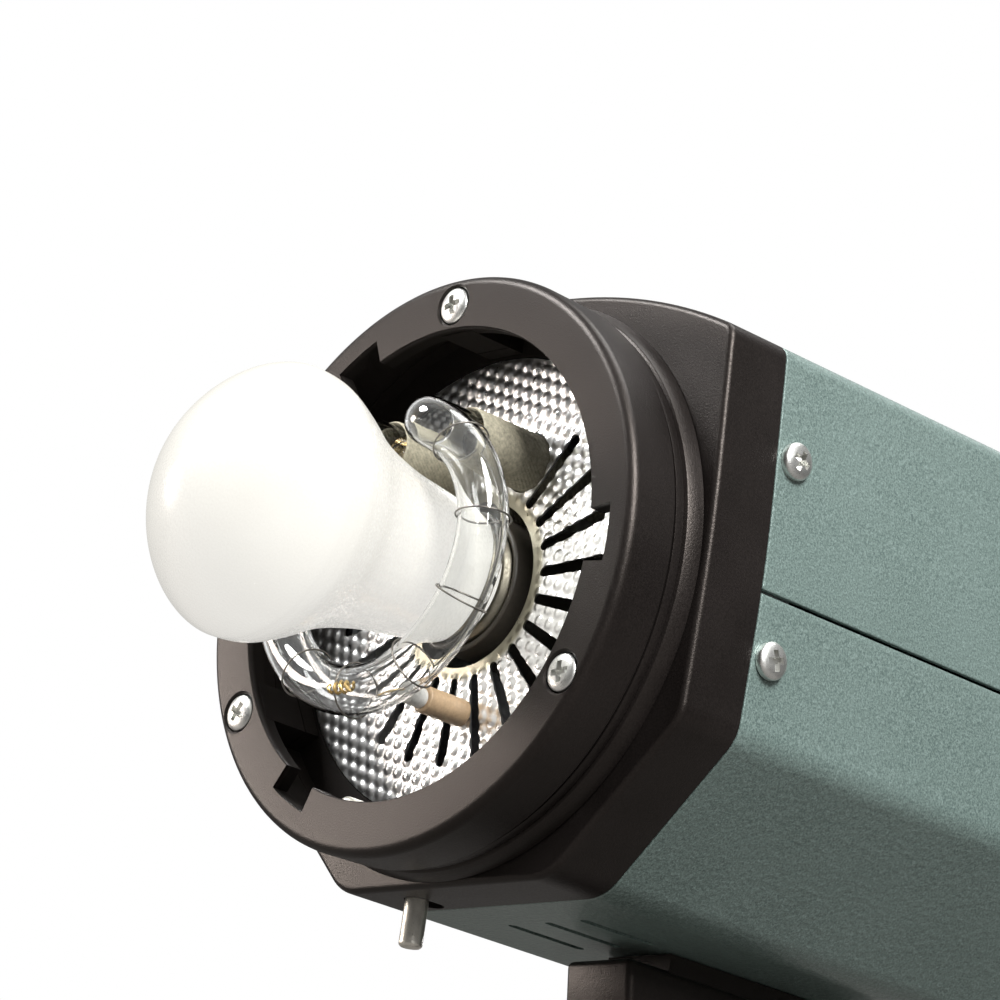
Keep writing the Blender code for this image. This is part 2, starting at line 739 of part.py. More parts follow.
def make_bayonet_ring():
    rim = []
    for i in range(3):
        turn = math.radians(90 * i / 2)
        rim.append((
            RING_RADIUS - RING_RIM_ROUND + RING_RIM_ROUND * math.sin(turn),
            RING_RIM_ROUND - RING_RIM_ROUND * math.cos(turn),
        ))
    profile = [(APERTURE_RADIUS, 0)] + rim + [
        (RING_BACK_RADIUS + FIT_GAP, RING_DEPTH - RING_BACK_CHAMFER[1]),
        (RING_BACK_RADIUS + FIT_GAP - RING_BACK_CHAMFER[0], RING_DEPTH),
        (CHANNEL_RADIUS, RING_DEPTH),
        (CHANNEL_RADIUS, RING_PLATE),
        (APERTURE_RADIUS, RING_PLATE),
    ]
    ring = turned("bayonet_ring", profile, RING_STEPS, satin_black, head)
    for number, angle in enumerate(RING_SCREW_ANGLES, 1):
        stop_top = CHANNEL_RADIUS + CUT_DEPTH
        stop_start = RING_PLATE / 2
        stop = box(
            f"ring_stop_{number}",
            (STOP_WIDTH, RING_DEPTH - stop_start, stop_top - STOP_FACE),
            parent=clock_arm(angle),
            location=(0, (RING_DEPTH + stop_start) / 2, (stop_top + STOP_FACE) / 2),
        )
        join(ring, stop)
    for number, angle in enumerate(NOTCH_ANGLES, 1):
        half = math.radians(NOTCH_HALF_ANGLE)
        outline = [
            (APERTURE_RADIUS * 0.9 * math.tan(-half), APERTURE_RADIUS * 0.9),
            (APERTURE_RADIUS * 0.9 * math.tan(half), APERTURE_RADIUS * 0.9),
            (NOTCH_RADIUS * math.sin(half), NOTCH_RADIUS * math.cos(half)),
            (0, NOTCH_RADIUS),
            (NOTCH_RADIUS * math.sin(-half), NOTCH_RADIUS * math.cos(half)),
        ]
        notch = plate(
            f"notch_{number}", [outline], 3 * RING_PLATE, parent=clock_arm(angle), rotation=FACE_FRONT
        )
        cut(ring, notch)
    for number, angle in enumerate(RING_SCREW_ANGLES, 1):
        x, z = ring_point(RING_SCREW_PITCH_RADIUS, angle)
        seat = round_hole(
            f"screw_seat_{number}", RING_SCREW_HEAD_RADIUS + RING_SCREW_RIM_GAP,
            2 * RING_SCREW_SINK, head, (x, 0, z)
        )
        bore = round_hole(
            f"screw_bore_{number}", RING_SCREW_SHANK_RADIUS + SCREW_GAP,
            3 * RING_DEPTH, head, (x, 0, z), sides=14
        )
        cut(ring, seat, bore)
        cross_screw(
            f"ring_screw_{number}",
            RING_SCREW_HEAD_RADIUS,
            RING_SCREW_HEAD_HEIGHT,
            RING_SCREW_SHANK_RADIUS,
            RING_SCREW_LENGTH,
            head,
            (x, RING_SCREW_SINK - SCREW_GAP, z),
            FACE_FRONT,
        )


def make_bayonet_collar():
    front = COLLAR_FRONT
    back = BEZEL_FRONT - FIT_GAP
    floor = back - CHANNEL_FLOOR
    profile = [
        (COLLAR_RADIUS - COLLAR_GROOVE, front),
        (COLLAR_RADIUS - COLLAR_GROOVE, front + COLLAR_GROOVE),
        (COLLAR_RADIUS, front + COLLAR_GROOVE),
        (COLLAR_RADIUS, back - COLLAR_FLARE_DEPTH - COLLAR_GROOVE / 2),
        (COLLAR_RADIUS - COLLAR_GROOVE, back - COLLAR_FLARE_DEPTH),
        (COLLAR_RADIUS + COLLAR_GROOVE / 2, back - COLLAR_FLARE_DEPTH + COLLAR_GROOVE / 2),
        (COLLAR_FLARE_RADIUS, back),
        (PAN_LEDGE_RADIUS, back),
        (PAN_LEDGE_RADIUS, PAN_DEPTH + PAN_SHEET + FIT_GAP),
        (PAN_RADIUS + FIT_GAP, PAN_DEPTH + PAN_SHEET + FIT_GAP),
        (PAN_RADIUS + FIT_GAP, floor),
        (CHANNEL_RADIUS, floor),
        (CHANNEL_RADIUS, front),
    ]
    collar = turned("bayonet_collar", profile, RING_STEPS, satin_black, head)
    for number, angle in enumerate(RING_SCREW_ANGLES, 1):
        boss_top = CHANNEL_RADIUS + CUT_DEPTH
        boss = box(
            f"collar_boss_{number}",
            (STOP_WIDTH, floor + CUT_DEPTH / 2 - front, boss_top - STOP_FACE),
            parent=clock_arm(angle),
            location=(0, (front + floor + CUT_DEPTH / 2) / 2, (boss_top + STOP_FACE) / 2),
        )
        join(collar, boss)
        x, z = ring_point(RING_SCREW_PITCH_RADIUS, angle)
        bore = round_hole(
            f"collar_bore_{number}",
            RING_SCREW_SHANK_RADIUS + SCREW_GAP,
            2 * (RING_SCREW_LENGTH + SCREW_GAP),
            head,
            (x, RING_SCREW_SINK, z),
            sides=14,
        )
        cut(collar, bore)
    cut(collar, latch_way("collar_latch_way"))


def clock_arm(angle):
    """An empty on the lamp axis whose +Z points at a clock angle, seen from the front."""
    arm = bpy.data.objects.new(f"arm_{angle}", None)
    arm.parent = head
    arm.rotation_euler = (0, math.radians(angle), 0)
    helpers.objects.link(arm)
    return arm


def latch_way(name):
    """The round way through which the latch rod slides."""
    return round_hole(
        name, LATCH_RADIUS + FIT_GAP, 2 * BODY_BACK, head, (LATCH_X, 0, LATCH_Z), sides=16
    )


def make_front_bezel():
    outline = body_outline()
    bezel = plate(
        "front_bezel",
        [outline],
        BEZEL_LENGTH,
        satin_black,
        head,
        (0, BEZEL_FRONT + BEZEL_LENGTH / 2, 0),
        FACE_FRONT,
    )
    mark_front_edge(bezel, BEZEL_LENGTH / 2)
    rounding = bezel.modifiers.new("round", "BEVEL")
    rounding.width = BEZEL_EDGE_ROUND
    rounding.segments = 2
    rounding.limit_method = "WEIGHT"
    pocket = plate(
        "bezel_pocket",
        [body_outline(BEZEL_WALL)],
        BEZEL_LENGTH,
        parent=head,
        location=(0, BEZEL_FRONT + BEZEL_WALL + BEZEL_LENGTH / 2, 0),
        rotation=FACE_FRONT,
    )
    bore = round_hole(
        "bezel_bore", BEZEL_BORE_RADIUS, 4 * BEZEL_WALL, head, (0, BEZEL_FRONT, 0), sides=RING_STEPS
    )
    pin_half = LATCH_PIN_RADIUS + FIT_GAP
    pin_way = plate(
        "latch_pin_way",
        [slot_outline(
            (LATCH_X, LATCH_PIN_DEPTH), (LATCH_X, LATCH_PIN_DEPTH + LATCH_TRAVEL),
            2 * pin_half, 2 * pin_half, 6
        )],
        4 * BEZEL_WALL,
        parent=head,
        location=(0, 0, SECTION_BOTTOM),
    )
    cut(bezel, pocket, bore, latch_way("bezel_latch_way"), pin_way)


def mark_front_edge(piece, half_thickness):
    """Gives the edges round the front face of a plate that faces front a bevel weight."""
    shape = bmesh.new()
    shape.from_mesh(piece.data)
    weight = shape.edges.layers.float.new("bevel_weight_edge")
    for edge in shape.edges:
        at_front = all(abs(vertex.co.z - half_thickness) < 0.00001 for vertex in edge.verts)
        if at_front and abs(edge.calc_face_angle(0)) > 0.5:
            edge[weight] = 1.0
    shape.to_mesh(piece.data)
    shape.free()


def make_latch():
    pivot = new_empty("latch_slide", (LATCH_X, LATCH_FRONT, LATCH_Z), head)
    rear = FRAME_BACK - LATCH_FRONT
    shoulder = LATCH_PIN_DEPTH + LATCH_PIN_RADIUS + FIT_GAP - LATCH_FRONT
    profile = [
        (0, 0),
        (LATCH_RADIUS - LATCH_CHAMFER, 0),
        (LATCH_RADIUS, LATCH_CHAMFER),
        (LATCH_RADIUS, shoulder),
        (LATCH_SHOULDER_RADIUS, shoulder),
        (LATCH_SHOULDER_RADIUS, shoulder + LATCH_SHOULDER),
        (LATCH_RADIUS, shoulder + LATCH_SHOULDER),
        (LATCH_RADIUS, rear),
        (0, rear),
    ]
    rod_piece = turned("latch_rod", profile, 16, steel, pivot)
    pin_place = (0, LATCH_PIN_DEPTH - LATCH_FRONT, 0)
    hole = rod(
        "latch_pin_hole",
        LATCH_PIN_RADIUS * 0.6 + FIT_GAP,
        2 * LATCH_RADIUS,
        parent=pivot,
        location=(0, LATCH_PIN_DEPTH - LATCH_FRONT, -2 * LATCH_RADIUS),
        sides=12,
    )
    cut(rod_piece, hole)
    pin_profile = [
        (0, -FIT_GAP),
        (LATCH_PIN_RADIUS * 0.6, -FIT_GAP),
        (LATCH_PIN_RADIUS * 0.6, -LATCH_RADIUS - FIT_GAP),
        (LATCH_PIN_RADIUS, -LATCH_RADIUS - FIT_GAP),
        (LATCH_PIN_RADIUS, -LATCH_Z - LATCH_PIN_BELOW + BREAK),
        (LATCH_PIN_RADIUS - BREAK, -LATCH_Z - LATCH_PIN_BELOW),
        (0, LATCH_Z * -1 - LATCH_PIN_BELOW),
    ]
    turned("latch_pin", pin_profile, 20, steel, pivot, pin_place, POINT_UP)
    spring_start = LATCH_FRONT + shoulder + LATCH_SHOULDER + SPRING_WIRE + FIT_GAP
    spring_end = FRAME_PLATE - SPRING_WIRE - FIT_GAP
    radius = LATCH_RADIUS + SPRING_CLEARANCE + SPRING_WIRE
    count = SPRING_TURNS * SPRING_TURN_POINTS
    points = []
    for i in range(count + 1):
        turn = 2 * math.pi * i / SPRING_TURN_POINTS
        along = spring_start + (spring_end - spring_start) * i / count
        points.append((LATCH_X + radius * math.cos(turn), along, LATCH_Z + radius * math.sin(turn)))
    gap = (spring_end - spring_start) / SPRING_TURNS - 2 * SPRING_WIRE
    print(f"latch spring: least gap between turns {gap * 1000:.2f} mm")
    tube("latch_spring", points, SPRING_WIRE, 1, steel, head)


# Reflector, lamp and flash tube

def tube_line(from_top):
    """A point on the flash tube's centreline: its ring sweeps forwards over the top and narrows."""
    side = abs((from_top + 180) % 360 - 180)
    leg_angle = math.degrees(math.atan2(TUBE_LEG_X, TUBE_LEG_Z))
    share = min(1.0, max(0.0, (TUBE_LEG_EASE - side) / (TUBE_LEG_EASE - leg_angle)))
    ease = share * share * (3 - 2 * share)
    radius = TUBE_RING_RADIUS + (math.hypot(TUBE_LEG_X, TUBE_LEG_Z) - TUBE_RING_RADIUS) * ease
    depth = TUBE_PLANE - TUBE_TOP_SWEEP * max(0.0, math.cos(math.radians(side))) ** 2
    return radius, depth


def make_reflector_pan():
    pan = rod(
        "reflector_pan", PAN_RADIUS, PAN_SHEET, stucco, head, (0, PAN_DEPTH, 0), TURN_TO_REAR, RING_STEPS
    )
    middle = PAN_DEPTH + PAN_SHEET / 2
    cut(pan, round_hole("pan_hole", PAN_HOLE_RADIUS, 3 * PAN_SHEET, head, (0, middle, 0), sides=30))
    for side in (-1, 1):
        place = (side * TUBE_LEG_X, middle, TUBE_LEG_Z)
        way_radius = SLEEVE_RADIUS + PAN_SLEEVE_GAP
        cut(pan, round_hole(f"sleeve_way_{side}", way_radius, 3 * PAN_SHEET, head, place, sides=18))
    slots = []
    for i in range(PAN_SLOT_COUNT):
        angle = PAN_SLOT_FIRST + 360 * i / PAN_SLOT_COUNT
        from_top = abs((angle + 180) % 360 - 180)
        if from_top > PAN_SLOT_CLEAR_OF_LEGS:
            slots.append(slot_outline(
                ring_point(PAN_SLOT_INNER, angle),
                ring_point(PAN_SLOT_OUTER, angle),
                PAN_SLOT_INNER_WIDTH,
                PAN_SLOT_OUTER_WIDTH,
                2,
            ))
    cut(pan, plate("pan_slots", slots, 3 * PAN_SHEET, None, head, (0, middle, 0), FACE_FRONT))


def make_lamp():
    pivot = new_empty("lamp_turn", (0, 0, 0), head)
    dome = []
    for i in range(LAMP_DOME_STEPS):
        turn = math.pi / 2 * i / LAMP_DOME_STEPS
        dome.append((
            LAMP_RADIUS * math.sin(turn) ** LAMP_DOME_POWER,
            LAMP_WIDEST - (LAMP_WIDEST - LAMP_TIP) * math.cos(turn) ** LAMP_DOME_POWER,
        ))
    neck = [(radius, depth) for depth, radius in LAMP_NECK]
    turned("lamp_glass", dome + neck + [(0, LAMP_NECK[-1][0])], 28, opal, pivot)
    front = LAMP_NECK[-1][0] + FIT_GAP
    back = front + LAMP_CAP_LENGTH
    profile = [(0, front), (LAMP_CAP_RADIUS, front)]
    for i in range(LAMP_CAP_TURNS):
        start = front + LAMP_CAP_PLAIN + i * LAMP_CAP_PITCH
        profile.append((LAMP_CAP_RADIUS - LAMP_CAP_THREAD, start))
        profile.append((LAMP_CAP_RADIUS, start + LAMP_CAP_PITCH / 2))
    profile += [
        (LAMP_CAP_RADIUS - LAMP_CAP_THREAD, front + LAMP_CAP_PLAIN + LAMP_CAP_TURNS * LAMP_CAP_PITCH),
        (LAMP_CONTACT_RADII[0], back - LAMP_CAP_TAPER),
        (LAMP_CONTACT_RADII[1], back),
        (0, back),
    ]
    turned("lamp_cap", profile, 16, aluminium, pivot)


def make_lamp_holder():
    back = FRAME_PLATE - FIT_GAP
    floor = back - HOLDER_FLOOR
    contact_front = LAMP_NECK[-1][0] + FIT_GAP + LAMP_CAP_LENGTH + FIT_GAP
    profile = [
        (0, contact_front),
        (CONTACT_RADIUS, contact_front),
        (CONTACT_RADIUS, floor),
        (HOLDER_BORE, floor),
        (HOLDER_BORE, HOLDER_FRONT + BREAK),
        (HOLDER_BORE + BREAK, HOLDER_FRONT),
        (HOLDER_RADIUS - BREAK, HOLDER_FRONT),
        (HOLDER_RADIUS, HOLDER_FRONT + BREAK),
        (HOLDER_RADIUS, back - HOLDER_FLANGE),
        (HOLDER_FLANGE_RADIUS, back - HOLDER_FLANGE),
        (HOLDER_FLANGE_RADIUS, back),
        (0, back),
    ]
    turned("lamp_holder", profile, 20, ceramic, head)


def make_flash_tube():
    leg_angle = math.degrees(math.atan2(TUBE_LEG_X, TUBE_LEG_Z))
    corner = Vector((TUBE_LEG_X, tube_line(leg_angle)[1], TUBE_LEG_Z))
    rearwards = Vector((0, 1, 0))

    def on_ring(angle):
        radius, depth = tube_line(angle)
        x, z = ring_point(radius, angle)
        return Vector((x, depth, z))

    trim = TUBE_BEND_RADIUS
    for _ in range(TUBE_BEND_STEPS):
        bend_angle = leg_angle + math.degrees(trim / TUBE_RING_RADIUS)
        turn = (corner - on_ring(bend_angle)).angle(rearwards)
        trim = TUBE_BEND_RADIUS * math.tan(turn / 2)
    steps = TUBE_RING_STEPS // 2
    half = [on_ring(180 - (180 - bend_angle) * i / steps) for i in range(steps + 1)]
    start = half[-1]
    end = corner + rearwards * trim
    weight = math.cos(turn / 2)
    for i in range(1, TUBE_BEND_STEPS + 1):
        share = i / TUBE_BEND_STEPS
        first, middle, last = (1 - share) ** 2, 2 * share * (1 - share) * weight, share**2
        half.append((start * first + corner * middle + end * last) / (first + middle + last))
    half.append(Vector((TUBE_LEG_X, TUBE_LEG_END, TUBE_LEG_Z)))
    other = [Vector((-point.x, point.y, point.z)) for point in half[1:]]
    tube("flash_tube", list(reversed(other)) + half, TUBE_RADIUS, 3, glass, head)


def make_tube_mounts():
    sleeve_back = FRAME_PLATE - FIT_GAP
    for side, word in ((-1, "left"), (1, "right")):
        place = (side * TUBE_LEG_X, 0, TUBE_LEG_Z)
        inner = SLEEVE_RADIUS - SLEEVE_WALL
        sleeve = [
            (inner, SLEEVE_FRONT + SLEEVE_EDGE),
            (inner + SLEEVE_EDGE, SLEEVE_FRONT),
            (SLEEVE_RADIUS - SLEEVE_EDGE, SLEEVE_FRONT),
            (SLEEVE_RADIUS, SLEEVE_FRONT + SLEEVE_EDGE),
            (SLEEVE_RADIUS, sleeve_back),
            (inner, sleeve_back),
        ]
        turned(f"tube_sleeve_{word}", sleeve, 20, khaki, head, place)
        cap_front = TUBE_LEG_END + FIT_GAP
        cap_back = cap_front + TUBE_CAP_LENGTH
        pin_back = cap_back + TUBE_PIN_LENGTH
        cap = [
            (0, cap_front),
            (TUBE_RADIUS, cap_front),
            (TUBE_RADIUS, cap_back),
            (TUBE_PIN_RADIUS, cap_back),
            (TUBE_PIN_RADIUS, pin_back),
            (0, pin_back),
        ]
        turned(f"tube_cap_{word}", cap, 16, brass, head, place)
        socket_front = cap_back + FIT_GAP
        hole = TUBE_PIN_RADIUS + FIT_GAP
        socket = [
            (0, pin_back + FIT_GAP),
            (hole, pin_back + FIT_GAP),
            (hole, socket_front),
            (SOCKET_RADIUS, socket_front),
            (SOCKET_RADIUS, sleeve_back),
            (0, sleeve_back),
        ]
        turned(f"tube_socket_{word}", socket, 16, ceramic, head, place)


def make_trigger_wire():
    offset = TUBE_RADIUS + WIRE_CLEARANCE + WIRE_RADIUS

    def on_tube(angle, turn):
        radius, depth = tube_line(angle)
        x, z = ring_point(radius + offset * math.cos(turn), angle)
        return Vector((x, depth + offset * math.sin(turn), z))

    spacing = (WIRE_LAST_ANGLE - WIRE_FIRST_ANGLE) / (WIRE_TURNS - 1)
    advance = math.degrees(WIRE_TURN_ADVANCE / TUBE_RING_RADIUS)
    points = []
    for loop in range(WIRE_TURNS):
        start = WIRE_FIRST_ANGLE + spacing * loop
        for i in range(WIRE_TURN_POINTS + 1):
            share = i / WIRE_TURN_POINTS
            points.append(on_tube(start + advance * share, math.pi / 2 + 2 * math.pi * share))
        if loop < WIRE_TURNS - 1:
            for share in (0.33, 0.67):
                angle = start + advance + (spacing - advance) * share
                points.append(on_tube(angle, math.pi / 2))
    inner_advance = WIRE_TURN_ADVANCE * (TUBE_RING_RADIUS - offset) / TUBE_RING_RADIUS
    gap = inner_advance - 2 * WIRE_RADIUS
    wanted = f"wanted over {WIRE_LEAST_GAP * 1000:.1f} mm"
    print(f"trigger wire: least gap to itself {gap * 1000:.2f} mm, {wanted}")
    tube("trigger_wire", points, WIRE_RADIUS, 1, wire_metal, head)

    post = turned(
        "trigger_post",
        [
            (0, POST_FRONT),
            (POST_RADIUS - BREAK, POST_FRONT),
            (POST_RADIUS, POST_FRONT + BREAK),
            (POST_RADIUS, PAN_DEPTH - FIT_GAP),
            (0, PAN_DEPTH - FIT_GAP),
        ],
        20,
        ceramic_tan,
        head,
        (POST_X, 0, POST_Z),
    )
    lead_radius = 1.6 * WIRE_RADIUS
    rise = TUBE_PLANE + TUBE_RADIUS + 2 * FIT_GAP + 2 * WIRE_RADIUS + lead_radius
    near = POST_FRONT + CUT_DEPTH / 2
    lead = [
        (POST_X, near, POST_Z),
        (POST_X, near - LEAD_OUT, POST_Z),
        (POST_X + LEAD_BEND[0], rise + LEAD_BEND[1], POST_Z + LEAD_BEND[2]),
        (POST_X + LEAD_TIP[0], rise + LEAD_TIP[1], POST_Z + LEAD_TIP[2]),
    ]
    join(post, tube("trigger_lead", [Vector(point) for point in lead], lead_radius, 1, None, head))


# Body

def shell(name, strip, material):
    """Bent sheet: the outline's stretch drawn along the body, thickened inwards."""
    shape = bmesh.new()
    corners = [shape.verts.new((point.x, BODY_FRONT, point.y)) for point in strip]
    edges = [shape.edges.new(pair) for pair in zip(corners, corners[1:])]
    grown = bmesh.ops.extrude_edge_only(shape, edges=edges)["geom"]
    far = [item for item in grown if isinstance(item, bmesh.types.BMVert)]
    bmesh.ops.translate(shape, verts=far, vec=(0, BODY_LENGTH, 0))
    shape.normal_update()
    outward = sum(face.normal.x * face.calc_center_median().x for face in shape.faces)
    if outward < 0:
        bmesh.ops.reverse_faces(shape, faces=shape.faces)
    mesh = bpy.data.meshes.new(name)
    shape.to_mesh(mesh)
    shape.free()
    item = add_object(name, mesh, material, head, (0, 0, 0), (0, 0, 0))
    wall = item.modifiers.new("sheet", "SOLIDIFY")
    wall.thickness = SHEET
    wall.offset = -1
    wall.use_even_offset = True
    return item


def side_screw_depths():
    return (BODY_FRONT + SIDE_SCREW_FROM_EDGE, BODY_BACK - SIDE_SCREW_FROM_EDGE)


def side_holes(tag, height):
    holes = []
    for row, depth in enumerate(side_screw_depths(), 1):
        holes.append(round_hole(
            f"{tag}_side_hole_{row}",
            SIDE_SCREW_SHANK_RADIUS + SCREW_GAP,
            4 * side_x(height),
            head,
            (0, depth, height),
            POINT_RIGHT,
            12,
        ))
    return holes


def make_body():
    cover = shell("upper_cover", clipped_outline(SEAM_HEIGHT + SEAM_GAP / 2, True), green_paint)
    cut(cover, *side_holes("cover", COVER_SCREW_HEIGHT))
    chassis = shell("lower_chassis", clipped_outline(SEAM_HEIGHT - SEAM_GAP / 2, False), green_paint)
    cut(chassis, *side_holes("chassis", CHASSIS_SCREW_HEIGHT))
    for number, x in enumerate(LOUVRE_X, 1):
        louvre = plate(
            f"louvre_{number}",
            [slot_outline(
                (x, LOUVRE_START), (x, LOUVRE_START + LOUVRE_LENGTH), LOUVRE_WIDTH, LOUVRE_WIDTH, 4
            )],
            4 * SHEET,
            parent=head,
            location=(0, 0, SECTION_BOTTOM),
        )
        cut(chassis, louvre)
    for number, depth in enumerate(LUG_BOLT_DEPTHS, 1):
        hole = round_hole(
            f"chassis_bolt_hole_{number}",
            LUG_BOLT_RADIUS + FIT_GAP,
            6 * SHEET,
            head,
            (0, depth, SECTION_BOTTOM),
            POINT_UP,
            16,
        )
        cut(chassis, hole)
    front, rear = side_screw_depths()
    for kind, height, depths in (
        ("cover", COVER_SCREW_HEIGHT, (front, rear)),
        ("chassis", CHASSIS_SCREW_HEIGHT, (front,)),
    ):
        number = 0
        for depth in depths:
            for side, rotation in ((-1, POINT_LEFT), (1, POINT_RIGHT)):
                number += 1
                cross_screw(
                    f"{kind}_screw_{number}",
                    SIDE_SCREW_HEAD_RADIUS,
                    SIDE_SCREW_HEAD_HEIGHT,
                    SIDE_SCREW_SHANK_RADIUS,
                    SIDE_SCREW_LENGTH,
                    head,
                    (side * (side_x(height) + SCREW_GAP), depth, height),
                    rotation,
                )


def make_front_frame():
    inset = SHEET + FIT_GAP
    frame = plate(
        "front_frame",
        [body_outline(inset)],
        FRAME_RIM_DEPTH,
        aluminium,
        head,
        (0, BODY_FRONT + FRAME_RIM_DEPTH / 2, 0),
        FACE_FRONT,
    )
    pocket = plate(
        "frame_pocket",
        [body_outline(inset + FRAME_WALL)],
        FRAME_RIM_DEPTH,
        parent=head,
        location=(0, FRAME_PLATE - FRAME_RIM_DEPTH / 2, 0),
        rotation=FACE_FRONT,
    )
    cut(frame, pocket, latch_way("frame_latch_way"))
    cut(frame, side_holes("frame_upper", COVER_SCREW_HEIGHT)[0])
    cut(frame, side_holes("frame_lower", CHASSIS_SCREW_HEIGHT)[0])
    box(
        "trigger_coil",
        COIL_SIZE,
        coil_resin,
        head,
        (COIL_X, FRAME_BACK + FIT_GAP + COIL_SIZE[1] / 2, COIL_Z),
    )


def make_capacitors():
    for side, word in ((-1, "left"), (1, "right")):
        back = CAN_START + CAN_LENGTH
        profile = [
            (0, CAN_START),
            (CAN_RADIUS - CAN_EDGE, CAN_START),
            (CAN_RADIUS, CAN_START + CAN_EDGE),
            (CAN_RADIUS, back - CAN_EDGE),
            (CAN_RADIUS - CAN_EDGE, back),
            (TERMINAL_RADIUS, back),
            (TERMINAL_RADIUS, back + TERMINAL_LENGTH),
            (0, back + TERMINAL_LENGTH),
        ]
        turned(f"capacitor_{word}", profile, 24, can_sleeve, head, (side * CAN_X, 0, CAN_Z))
    floor = CHASSIS_FLOOR + FIT_GAP
    outline = lower_board_outline(floor, CAN_BRACKET_TOP)
    holes = [circle(CAN_RADIUS + FIT_GAP, 24, (side * CAN_X, CAN_Z)) for side in (-1, 1)]
    plate(
        "capacitor_bracket",
        [outline] + holes,
        CAN_BRACKET,
        aluminium,
        head,
        (0, CAN_BRACKET_DEPTH, 0),
        FACE_FRONT,
    )


def lower_board_outline(bottom, top, edge=None):
    """The part of the inner section between two heights, as an outline of straight sides."""
    inset = SHEET + FIT_GAP if edge is None else edge
    heights = [bottom, SECTION_CORNERS[1][1], min(top, SECTION_CORNERS[2][1]), top]
    right = []
    for height in heights:
        level = max(height, bottom + BOARD_SIDE_GAP / 2)
        place = (side_x(level, inset) - BOARD_SIDE_GAP, height)
        if not right or place[1] - right[-1][1] > BOARD_LEAST_STEP:
            right.append(place)
    return right + [(-x, z) for x, z in reversed(right)]


def make_power_board():
    floor = CHASSIS_FLOOR + FIT_GAP
    board = plate(
        "power_board",
        [lower_board_outline(floor, POWER_BOARD_TOP)],
        BOARD_SHEET,
        board_green,
        head,
        (0, BOARD_FRONT + BOARD_SHEET / 2, 0),
        FACE_FRONT,
    )
    back = BOARD_FRONT + BOARD_SHEET
    for number, (x, z, width, depth, height) in enumerate(BOARD_BLOCKS, 1):
        block = box(
            f"board_block_{number}",
            (width, depth + BOARD_SHEET / 2, height),
            parent=head,
            location=(x, back + depth / 2 - BOARD_SHEET / 4, z),
        )
        join(board, block)
    width, height = HEAT_SINK_WIDTH / 2, HEAT_SINK_HEIGHT
    pitch = (HEAT_SINK_WIDTH - HEAT_SINK_FIN) / (HEAT_SINK_FINS - 1)
    outline = [(-width, 0), (width, 0)]
    for i in reversed(range(HEAT_SINK_FINS)):
        left = -width + i * pitch
        outline += [(left + HEAT_SINK_FIN, HEAT_SINK_DEPTH), (left, HEAT_SINK_DEPTH)]
        if i:
            gap_right = left
            gap_left = -width + (i - 1) * pitch + HEAT_SINK_FIN
            outline += [(gap_right, HEAT_SINK_BASE), (gap_left, HEAT_SINK_BASE)]
    plate(
        "heat_sink",
        [outline],
        height,
        aluminium,
        head,
        (HEAT_SINK_X, back + FIT_GAP, HEAT_SINK_Z),
    )


# Rear

def panel_cutouts():
    holes = [
        circle(DIAL_SHAFT_RADIUS + FIT_GAP, 16, POWER_DIAL_AT),
        circle(DIAL_SHAFT_RADIUS + FIT_GAP, 16, LAMP_DIAL_AT),
        circle(BUTTON_RADIUS + FIT_GAP, 16, BUTTON_AT),
        circle(PHOTOCELL_RADIUS + FIT_GAP, 16, PHOTOCELL_AT),
        circle(SYNC_SOCKET_RADIUS + FIT_GAP, 16, SYNC_SOCKET_AT),
        circle(FUSE_RADIUS + FIT_GAP, 16, FUSE_AT),
        rectangle(INLET_SIZE[0] + 2 * FIT_GAP, INLET_SIZE[1] + 2 * FIT_GAP, INLET_AT),
        rectangle(ROCKER_LENGTH + 2 * FIT_GAP, ROCKER_WIDTH + 2 * FIT_GAP, MAINS_SWITCH_AT),
        rectangle(ROCKER_LENGTH + 2 * FIT_GAP, ROCKER_WIDTH + 2 * FIT_GAP, LAMP_SWITCH_AT),
    ]
    for i in range(GRILLE_SLOTS):
        level = (i - (GRILLE_SLOTS - 1) / 2) * GRILLE_PITCH
        reach = math.sqrt(GRILLE_RADIUS**2 - level**2) - GRILLE_SLOT_WIDTH / 2
        holes.append(slot_outline(
            (-reach, FAN_Z + level), (reach, FAN_Z + level), GRILLE_SLOT_WIDTH, GRILLE_SLOT_WIDTH, 2
        ))
    return holes


def make_rear():
    bezel = plate(
        "rear_bezel",
        [body_outline(), body_outline(REAR_WALL + REAR_LEDGE_WIDTH)],
        REAR_BEZEL_LENGTH,
        satin_black,
        head,
        (0, REAR_FRONT + REAR_BEZEL_LENGTH / 2, 0),
        FACE_FRONT,
    )
    recess = plate(
        "rear_recess",
        [body_outline(REAR_WALL)],
        REAR_BEZEL_LENGTH,
        parent=head,
        location=(0, REAR_FRONT + REAR_LEDGE + REAR_BEZEL_LENGTH / 2, 0),
        rotation=FACE_FRONT,
    )
    cut(bezel, recess)
    plate(
        "rear_panel",
        [body_outline(REAR_WALL + FIT_GAP)] + panel_cutouts(),
        PANEL_SHEET,
        panel_grey,
        head,
        (0, PANEL_FRONT + PANEL_SHEET / 2, 0),
        FACE_FRONT,
    )


